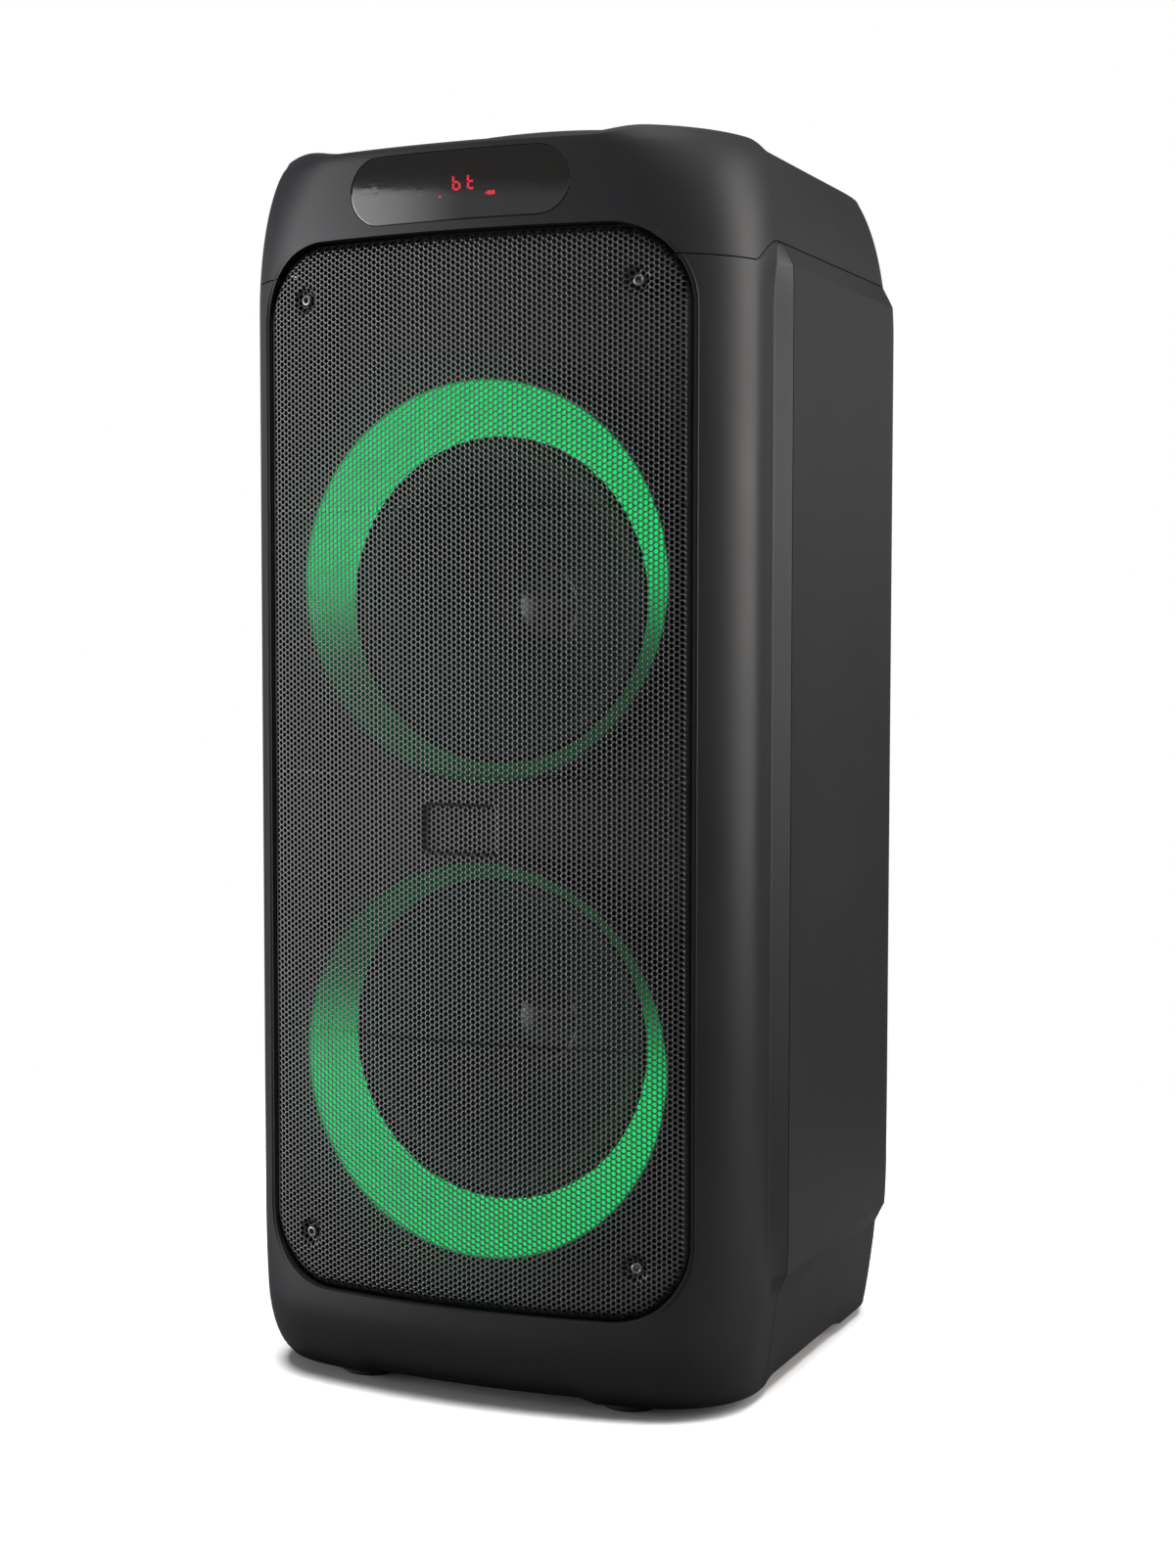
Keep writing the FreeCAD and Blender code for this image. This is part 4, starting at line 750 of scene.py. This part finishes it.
def outline_points(half, low, high, corner, step):
    """Evenly spaced points along a rounded rectangle, anticlockwise."""
    inner, turns = half - corner, int(corner * pi / 2 / step)
    points = []
    for x, z, start in ((inner, high - corner, 0), (-inner, high - corner, 90),
                        (-inner, low + corner, 180), (inner, low + corner, 270)):
        points += arc((x, z), corner, start, start + 90, turns)
    filled = []
    for here, following in zip(points, points[1:] + points[:1]):
        parts = max(1, round(dist(here, following) / step))
        filled += zip(spread(here[0], following[0], parts), spread(here[1], following[1], parts))
    return filled


def crossings_inside(points, edges, flat):
    """Whether each point lies inside the edges' polygons, by counting crossings."""
    start, end = (np.array([flat[e[n]] for e in edges]) for n in (0, 1))
    result = []
    for x, z in points:
        spans = (start[:, 1] > z) != (end[:, 1] > z)
        a, b = start[spans], end[spans]
        meets = a[:, 0] + (z - a[:, 1]) * (b[:, 0] - a[:, 0]) / (b[:, 1] - a[:, 1])
        result.append(np.count_nonzero(meets > x) % 2 == 1)
    return result


def sides(face):
    """The directed edges of a face."""
    return list(zip(face, face[1:] + face[:1]))


def net(sheet):
    """The flat points of a hexagonal net of holes, its webs and its holes."""
    half, low, high, _ = sheet.outline
    column, hole = PITCH * sqrt(3) / 2, (PITCH - WEB) / sqrt(3)
    columns = int(half / column) + 1
    flat, first = [], {}
    for i in range(-columns, columns + 1):
        for j in range(int((high - low) / PITCH) + 2):
            s, z = i * column, low + (j + 0.5 * (i % 2)) * PITCH
            if -rounded_box(s, z, *sheet.outline) > hole + 0.3:
                first[i, j] = len(flat)
                flat += [(s + hole * c, z + hole * n) for c, n in circle(6)]
    webs = []
    for (i, j), here in first.items():
        odd = i % 2
        upper, lower, above = (first.get(at) for at in ((i + 1, j + odd), (i + 1, j + odd - 1), (i, j + 1)))
        if upper is not None:
            webs.append((here, upper + 4, upper + 3, here + 1))
            if lower is not None:
                webs.append((here, lower + 2, upper + 4))
            if above is not None:
                webs.append((here + 1, upper + 3, above + 5))
        if lower is not None:
            webs.append((here + 5, lower + 3, lower + 2, here))
        if above is not None:
            webs.append((here + 1, above + 5, above + 4, here + 2))
    return flat, webs, [tuple(range(n, n + 6)) for n in first.values()]


def grille():
    """The perforated sheet: a net of holes, closed round its edge by a plain rim and a skirt."""
    sheet = GrilleSheet()
    flat, webs, holes = net(sheet)
    edges = dict.fromkeys(edge for face in webs + holes for edge in sides(face))
    border = [(a, b) for a, b in edges if (b, a) not in edges]
    rim_points = outline_points(*sheet.outline, 1.6)
    rim = list(range(len(flat), len(flat) + len(rim_points)))
    flat += rim_points
    used = sorted({v for edge in border for v in edge}) + rim
    number = {v: n for n, v in enumerate(used)}
    fixed = [(number[a], number[b]) for a, b in border + sides(rim)]
    made = geometry.delaunay_2d_cdt([Vector(flat[v]) for v in used], fixed, [], 1, 1e-5)
    triangles = [tuple(used[v] for v in face) for face in made[2]]
    middles = [tuple(np.mean([flat[v] for v in t], axis=0)) for t in triangles]
    covered = crossings_inside(middles, border, flat)
    webs += [t for t, hidden in zip(triangles, covered) if not hidden]
    flat = np.array(flat)
    front, back = sheet.place(flat[:, 0], flat[:, 1]), sheet.place(flat[:, 0], flat[:, 1], SHEET)
    points = np.concatenate([front, back, front[rim] + np.array((0, 3.5 * MM, 0))])
    count = len(flat)
    faces = [(f, flat[f[0]][1]) for f in webs]
    faces += [(tuple(v + count for v in reversed(f)), height) for f, height in faces]
    faces += [((b, a, a + count, b + count), flat[h[0]][1]) for h in holes for a, b in sides(h)]
    for n, (v, w) in enumerate(sides(rim)):
        below, beside = 2 * count + n, 2 * count + (n + 1) % len(rim)
        faces += [((v, below, beside, w), flat[v][1]), ((below, v + count, w + count, beside), flat[v][1])]
    _, low, high, _ = sheet.outline
    for k, name in enumerate(("grille_bottom", "grille_lower", "grille_upper", "grille_top")):
        chosen = [f for f, height in faces if sum(height > low + (high - low) * n / 4 for n in (1, 2, 3)) == k]
        kept, renumbered = np.unique(np.concatenate([np.array(f) for f in chosen]), return_inverse=True)
        parts = np.split(renumbered, np.cumsum([len(f) for f in chosen])[:-1])
        piece(name, points[kept], [tuple(int(v) for v in part) for part in parts], "grille_steel",
              replaces=["grille"], smooth=None)


# --- light rings

# for each ring: heights of its outer circle, inner circle and woofer, and the way its light faces
RINGS = {"upper": (455.4, 445.8, 443.6, 90), "lower": (189.6, 198.8, 201.4, 270)}
RING_OUTER, RING_INNER, RING_FRONT, RING_BACK = 111.6, 90.9, -129.8, -108.3


def light_ring(side):
    """A dished crescent between a wide circle and a smaller, off-centre one behind it."""
    outer_z, inner_z, _, bright = RINGS[side]
    profile = [(0.0, 1.6, 2.2), (0.0, 0.2, 0.6)]
    profile += [(share, 0.0, 0.0) for share in (0.012, 0.03, 0.1, 0.2, 0.3, 0.4, 0.5, 0.6, 0.7, 0.8, 0.9, 0.97)]
    profile += [(1.0, 0.0, 0.4), (1.0, 0.4, 1.6), (0.97, 0.6, 2.0), (0.5, 0.6, 2.0), (0.04, 0.6, 2.0)]
    rows = []
    for share, spare, back in profile:
        centre_z = outer_z + (inner_z - outer_z) * share
        radius = RING_OUTER + (RING_INNER - RING_OUTER) * share - spare * (1 - 2 * share) * 0.3
        y = RING_FRONT + (RING_BACK - RING_FRONT) * share + 2.2 * sin(pi * share) + back
        rows.append([(radius * c, y, centre_z + radius * s) for c, s in circle(192)])
    swept(f"{side}_ring_lens", rows, lit_ring(f"{side}_ring_glow", outer_z * MM, bright), "cabinet",
          [f"{side}_light_ring"], 40.0, (False, True), True)


# --- woofers

def woofer(side):
    """Cone, dust cap and half-roll surround, all turned about the woofer's axis."""
    centre = Vector((0, 0, RINGS[side][2]))
    moving = f"{side}_cone_assembly"
    neck, brim, steps = (20.6, -48.3), (79.3, -97.6), 16
    face = [(neck[0] + (brim[0] - neck[0]) * i / steps,
             neck[1] + (brim[1] - neck[1]) * i / steps + 3.2 * sin(pi * i / steps))
            for i in range(steps + 1)]
    rear = [(radius - 0.2, along + 1.1) for radius, along in reversed(face)]
    lathe(f"{side}_cone_skin", face + rear, centre, "cone_paper", moving, [f"{side}_cone"])
    dome = [(max(r, 0.05), a) for r, a in arc((0.0, -14.6), 42.2, -58, -90, 12)]
    cap = [(23.8, -49.6), (23.6, -50.6), *dome, (0.05, -55.6), (12.0, -54.0), (22.0, -49.4), (23.4, -49.3)]
    lathe(f"{side}_cap_dome", cap, centre, "cap_gloss", moving, [f"{side}_dust_cap"], 96)
    surround(side, centre)


def surround(side, centre):
    """The half-roll surround as sectors, each bending between its outer seat and the cone's brim."""
    sectors, steps, roll = 18, 8, (83.9, -98.7)
    profile = [(76.5, -98.5), (79.2, -98.6), *arc(roll, 4.5, 180, 360, 14), (88.9, -98.6), (92.6, -98.5),
               (92.6, -98.0), (88.4, -98.0), *arc(roll, 3.6, 350, 190, 12), (79.2, -98.05), (76.5, -98.0)]
    around = circle(sectors * steps)
    for n in range(sectors):
        ways = [around[(n * steps + k) % len(around)] for k in range(steps + 1)]
        rows = [[(centre.x + r * c, a, centre.z + r * s) for r, a in profile] for c, s in ways]
        made = swept(f"{side}_surround_{n:02d}", rows, "surround_rubber", "cabinet", [f"{side}_surround"], smooth=60)
        made.parent = None
        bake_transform(made)


# --- screws

def recessed_screw(name, place, out, head, height, replaces=()):
    """A pan-head screw: a short shank, a rounded rim and a hexagonal socket."""
    pan = [(0.45 * head, -4.0), (0.45 * head, 0.0), (0.9 * head, 0.0),
           *arc((0.68 * head, height - 0.32 * head), 0.32 * head, 0, 90, 5),
           (0.64 * head, height), (0.61 * head, height - 0.06 * head)]
    socket = [(0.58 * head, height - 0.1 * head), (0.56 * head, height - 0.75 * head), (0.02, height - 0.8 * head)]
    way_z = Vector(out).normalized()
    way_x = way_z.orthogonal().normalized()
    way_y = way_z.cross(way_x)
    flats = [cos(pi / 6) / cos(pi / 24 * (k % 8) - pi / 6) for k in range(48)]
    rows = []
    for n, (radius, along) in enumerate(pan + socket):
        reach = [radius * (flat if n >= len(pan) else 1) for flat in flats]
        rows.append([Vector(place) + way_x * r * c + way_y * r * s + way_z * along
                     for r, (c, s) in zip(reach, circle(48))])
    swept(name, rows, "black_screws", replaces=replaces, smooth=40)


def grille_screws():
    sheet = GrilleSheet()
    for n, (x, z) in enumerate(SCREW_PLACES):
        floor = sheet.place(np.array([arc_length(x)]), np.array([z]))[0] / MM
        out = (x / GRILLE_RADIUS, -sqrt(1 - (x / GRILLE_RADIUS) ** 2), 0)
        recessed_screw(f"grille_screw_{n}", floor, out, 3.2, 2.2, ["grille_screws"])


# --- display lens

def display():
    """The smoked lens: a stadium bent to the curve of the front, with a softly rounded rim."""
    low, high = mm_box("display_window")
    radius, middle = (high.z - low.z) / 2, (high.z + low.z) / 2
    straight, around, steps = high.x - radius, 24, 20
    loops = [(0.0, 1.2), (0.0, 0.25), (0.06, 0.08), (0.2, 0.0), (0.8, 0.0)]
    rows = []
    for inset, sunk in loops + [(radius * share, 0.0) for share in (0.2, 0.4, 0.6, 0.8, 0.985)]:
        r, row = radius - inset, []
        for side in (1, -1):
            row += arc((side * straight, middle), r, -90 * side, 180 - 90 * side, around)
            row += [(side * straight * (1 - 2 * k / steps), middle + side * r) for k in range(1, steps)]
        rows.append([(x, bulged(x) + 0.1 + sunk, z) for x, z in row])
    count = len(rows[0])

    def at(k):
        return (len(rows) - 1) * count + (around // 2 + k) % count

    far = count // 2
    ends = [(at(-k), at(k), at(k + 1), at(-k - 1)) for k in range(1, far - 1)]
    ends += [(at(-1), at(0), at(1)), (at(1 - far), at(far - 1), at(far))]
    piece("display_lens", in_metres(rows), joined(rows, False) + ends, "display_lens", "cabinet",
          ["display_window"], smooth=60)


# --- handle, knobs and buttons

def handle():
    """The arched carrying bar with rounded edges on two short legs."""
    low, high = mm_box("carry_handle")
    arch, thick, leg, end, corner = 550.0, 11.0, 16.0, 3.0, 4.5
    stations = [-1.0, -0.998, -0.99, -0.975] + [i / 24 for i in range(-23, 24)] + [0.975, 0.99, 0.998, 1.0]
    rows = []
    for share in stations:
        x = high.x * share
        past = max(0.0, abs(x) - (high.x - end)) / end
        inset = end * (1 - sqrt(max(0.0, 1 - past * past))) + corner
        up = high.z - arch + sqrt(arch ** 2 - x ** 2) - inset
        under = high.z - arch + sqrt((arch - thick) ** 2 - x ** 2)
        under += (low.z - under) * smooth_step((abs(x) - (high.x - leg - 5.0)) / 8.0) + corner
        row = []
        for y, z, start in ((high.y - inset, up, 0), (low.y + inset, up, 90), (low.y + inset, under, 180),
                            (high.y - inset, under, 270)):
            row += [(x, *p) for p in arc((y, z), corner, start, start + 90, 7)]
        rows.append(row)
    swept("carry_handle_bar", rows, "cabinet_plastic", "cabinet", ["carry_handle"])


def knob(name, ribs, skirt):
    """A turned knob with a grip of fine ribs, a rounded crown and a shallow dish, and the scale round it."""
    low, high = mm_box(name)
    radius, x, y = (high.x - low.x) / 2, (high.x + low.x) / 2, (high.y + low.y) / 2
    base, top = 690.6, high.z
    grip = radius - skirt
    profile = [(2.9, low.z, 0), (2.9, base + 1.5, 0), (radius - 1.6, base + 1.5, 0), (radius - 1.2, base, 0),
               (radius - 0.4, base, 0), (radius, base + 0.4, 0), (radius, base + 1.6, 0),
               (radius - 0.3, base + 2.1, 0), (grip, base + 2.5, 0), (grip, base + 3.1, 0.2), (grip, base + 3.6, 1),
               (grip - 0.25, (base + top) / 2, 1), (grip - 0.5, top - 2.2, 1), (grip - 0.7, top - 1.6, 0.3),
               (grip - 0.9, top - 0.9, 0), (grip - 1.4, top - 0.3, 0), (grip - 2.2, top, 0), (grip - 3.2, top, 0),
               (grip - 3.8, top - 0.25, 0), (grip * 0.4, top - 0.7, 0), (0.05, top - 0.8, 0)]
    wave = [0.275 * (1 - c) for c, _ in circle(6)] * ribs
    rows = [[(x + (r - ribbed * w) * c, y + (r - ribbed * w) * s, z) for w, (c, s) in zip(wave, circle(6 * ribs))]
            for r, z, ribbed in profile]
    body = f"{name}_body"
    swept(f"{name}_turned", rows, "knob_plastic", body, [name])
    mark = bar(x, y + (1.45 * grip - 3.4) / 2, 1.0, 0.55 * grip - 3.4)
    plates(f"{name}_mark", [mark], top - 1.3, top - 0.15, body)
    ticks = []
    for k in range(11):
        long = 2.0 if k % 5 else 3.2
        ticks.append(turned(bar(x + radius + 2.2 + long / 2, y, long, 0.6), (x, y), 240 - 30 * k))
    plates(f"{name}_scale", ticks, 689.9, 690.05, "cabinet")


def plates(name, outlines, low, high, body):
    """White print: thin plates over closed outlines, between two heights."""
    points, faces = [], []
    for outline in outlines:
        faces += [tuple(len(points) + v for v in face) for face in joined([outline, outline])]
        points += in_metres([[(x, y, z) for x, y in outline] for z in (low, high)])
    piece(name, points, faces, "print_white", body, smooth=None)


def arrow(x, y, reach, way=1):
    back, side = x - 0.5 * reach * way, 0.62 * reach
    return [(back, y - side), (x + 0.6 * reach * way, y), (back, y + side)][::way]


def bar(x, y, width, height):
    across, up = width / 2, height / 2
    return [(x - across, y - up), (x + across, y - up), (x + across, y + up), (x - across, y + up)]


def turned(outline, centre, angle):
    """An outline turned about a point, in degrees."""
    c, s = cos(radians(angle)), sin(radians(angle))
    return [(centre[0] + (x - centre[0]) * c - (y - centre[1]) * s,
             centre[1] + (x - centre[0]) * s + (y - centre[1]) * c) for x, y in outline]


def buttons():
    """Five push-buttons with rounded rims and slightly dished tops, each with a plain symbol."""
    for name in ("light", "previous", "play", "next", "mode"):
        low, high = mm_box(f"{name}_button")
        x, y, flange = (low.x + high.x) / 2, (low.y + high.y) / 2, (high.x - low.x) / 2
        top, radius = high.z, flange - 1.6
        profile = [(0.05, low.z), (3.0, low.z), (3.0, 685.4), (flange, 685.4), (flange, 686.9), (radius, 686.9),
                   (radius, top - 1.1), (radius - 0.15, top - 0.6), (radius - 0.5, top - 0.2), (radius - 1.0, top),
                   (radius - 1.7, top), (radius - 2.6, top - 0.14), (2.0, top - 0.2), (0.05, top - 0.2)]
        body = f"{name}_button_body"
        lathe(f"{name}_button_cap", profile, (x, y, 0), "knob_plastic", body, [f"{name}_button"], 64, True)
        symbols = {
            "play": [arrow(x - 0.9, y, 2.4), bar(x + 1.4, y, 0.5, 3.0), bar(x + 2.4, y, 0.5, 3.0)],
            "next": [arrow(x - 0.9, y, 2.0), arrow(x + 0.9, y, 2.0), bar(x + 2.4, y, 0.5, 2.5)],
            "previous": [arrow(x - 0.9, y, 2.0, -1), arrow(x + 0.9, y, 2.0, -1), bar(x - 2.4, y, 0.5, 2.5)],
            "mode": [bar(x, y + n * 1.3, 3.6, 0.5) for n in (-1, 0, 1)],
            "light": [[(x + c, y + s) for c, s in circle(32)],
                      *(turned(bar(x + 2.2, y, 1.2, 0.4), (x, y), 45 * k) for k in range(8))],
        }
        plates(f"{name}_symbol", symbols[name], top - 0.35, top - 0.13, body)


# --- rear fittings and edges

def rear_fittings():
    """Nuts of the sockets, flares of the ports and screws of the rear plate."""
    nut = [(4.6, 159.4), (4.6, 160.9), (4.9, 161.3), (7.4, 161.3), (8.2, 160.8), (8.4, 159.9), (8.4, 159.4)]
    flare = [(29.2, 150.5), (29.6, 153.0), (30.8, 156.2), (32.6, 158.6), (34.0, 160.2), (34.8, 160.7),
             (35.4, 160.6), (35.8, 160.1), (35.8, 159.2), (33.4, 159.0), (31.0, 156.8), (29.9, 150.5)]
    for n, (tag, nut_x, side) in enumerate((("left", -56, -1), ("right", -26, 1))):
        lathe(f"mic_jack_{tag}_nut", nut, (nut_x, 0, 530), "plated_steel", segments=48)
        lathe(f"port_flare_{tag}", flare, (82 * side, 0, 350), "moulded_plastic", segments=96)
        for z in (447, 553):
            recessed_screw(f"plate_screw_{n}_{z}", (73 * side, 159.6, z), (0, 1, 0), 3.0, 1.7)


def soften_nodes():
    """Rounds the sharp edges of CAD nodes that show."""
    for node, width in (("connector_panel", 0.5), ("control_panel", 0.4), ("power_rocker", 0.6),
                        ("rocker_housing", 0.4), ("usb_socket", 0.25), ("feet", 1.0), ("battery_pack", 3.0),
                        ("amplifier_board", 0.3), ("heat_sink", 0.3), ("display_board", 0.3)):
        bevel(NODES[node], width * MM, 3, 35.0)


# --- stage

def studio_floor():
    """A pale floor that fades out, and is dark to all but the camera."""
    f = Finish("studio_floor")
    shade = f.blend(f.between(f.noise(3.0), 0, 1), colour(0.93, 0.92, 0.925), colour(0.95, 0.94, 0.945))
    pale = f.one("BsdfPrincipled", Base_Color=shade, Roughness=0.9)
    dim = f.one("BsdfDiffuse", Color=colour(0.10, 0.10, 0.105))
    seen = f.mixed(f.add("LightPath").outputs["Is Camera Ray"], dim, pale)
    axes = f.add("SeparateXYZ", Vector=f.place).outputs
    fade = f.between(f.length(axes["X"], axes["Y"]), 0, 1, 0.35, 0.95, "SMOOTHSTEP")
    f.show(f.mixed(fade, seen, f.one("BsdfTransparent")))
    mesh = bpy.data.meshes.new("studio_floor")
    mesh.from_pydata([(1.2 * x, 1.2 * y, 0) for x, y in ((-1, -1), (1, -1), (1, 1), (-1, 1))], [], [(0, 1, 2, 3)])
    mesh.materials.append(f.material)
    linked("studio_floor", mesh)


def studio_world():
    """White for the camera; for the surfaces a pale band, and a glow from the left."""
    world = bpy.data.worlds.new("studio_world")
    bpy.context.scene.world = world
    world.use_nodes = True
    w = Tree(world.node_tree, "OutputWorld")
    way = w.add("TexCoord").outputs["Generated"]
    height = w.add("SeparateXYZ", Vector=way).outputs["Z"]
    ramp = w.add("ValToRGB", Fac=w.sums("MULTIPLY_ADD", height, 0.5, 0.5))
    stops = ramp.color_ramp.elements
    stops[0].color, stops[1].color = colour(0.10, 0.10, 0.10), colour(0.10, 0.10, 0.105)
    for at, shade in ((0.0, (0.12, 0.12, 0.12)), (0.10, (0.46, 0.46, 0.48)), (0.1735, (0.46, 0.46, 0.48)),
                      (0.1755, (0.07, 0.07, 0.07))):
        stops.new(0.5 + 0.5 * at).color = colour(*shade)
    glow = w.between(w.dot(way, (-0.866, -0.5, 0.0)), 0, 3.5, 0.80, 0.99, "SMOOTHSTEP")
    strength = w.sums("MULTIPLY", w.sums("LESS_THAN", height, 0.1745), glow)
    lit = w.fed("AddShader", (w.one("Background", Color=ramp.outputs["Color"]),
                              w.one("Background", Color=colour(0.97, 0.97, 1.0), Strength=strength)))
    white = w.one("Background", Color=colour(1, 1, 1))
    w.show(w.mixed(w.add("LightPath").outputs["Is Camera Ray"], lit, white))


def soft_box(name, place, aim, width, height, power, tint=(1, 1, 1), mirrored=True):
    """A rectangular lamp; one that isn't mirrored lights surfaces but shows in no reflection."""
    light = bpy.data.lights.new(name, "AREA")
    light.shape = "RECTANGLE"
    light.size, light.size_y = width, height
    light.energy, light.color = power, tint
    lamp = linked(name, light)
    lamp.location = place
    lamp.rotation_mode = "QUATERNION"
    lamp.rotation_quaternion = (Vector(aim) - Vector(place)).to_track_quat("-Z", "Y")
    lamp.visible_glossy = mirrored


def lights():
    soft_box("key_left", (-1.75, -1.2, 0.5), (0, 0, 0.35), 0.8, 0.92, 11, (0.98, 0.99, 1.0))
    soft_box("strip_right", (1.7, 0.5, 0.9), (0.1, 0, 0.4), 0.9, 1.5, 23, (1.0, 0.97, 0.935))
    soft_box("overhead", (0.1, -0.15, 2.1), (0, 0, 0.35), 1.8, 1.8, 140, mirrored=False)
    soft_box("overhead_sheen", (0.5, -0.5, 2.0), (0, 0, 0.35), 1.2, 1.2, 6)


def camera():
    """The viewpoint: a long lens at chest height to the speaker, to the right of its front."""
    right, up = Vector((0.91558, 0.40213, 0.00117)), Vector((-0.02603, 0.05637, 0.99807))
    behind = Vector((0.40129, -0.91385, 0.06208))
    eye = linked("camera", bpy.data.cameras.new("camera"))
    eye.matrix_world = (Matrix.Translation((0.59705, -1.3424, 0.4284))
                        @ Matrix((right, up, behind)).transposed().to_4x4())
    eye.data.sensor_width, eye.data.lens, eye.data.clip_start = 36.0, 56.19, 0.01
    bpy.context.scene.camera = eye


dress_frame()
cabinet_shells()
grille()
grille_screws()
for woofer_side in RINGS:
    light_ring(woofer_side)
    woofer(woofer_side)
display()
handle()
knob("volume_knob", 60, 2.4)
knob("mic_knob", 24, 0.6)
knob("echo_knob", 24, 0.6)
buttons()
rear_fittings()
soften_nodes()
studio_floor()
studio_world()
lights()
camera()
bpy.context.scene.view_settings.view_transform = "Standard"
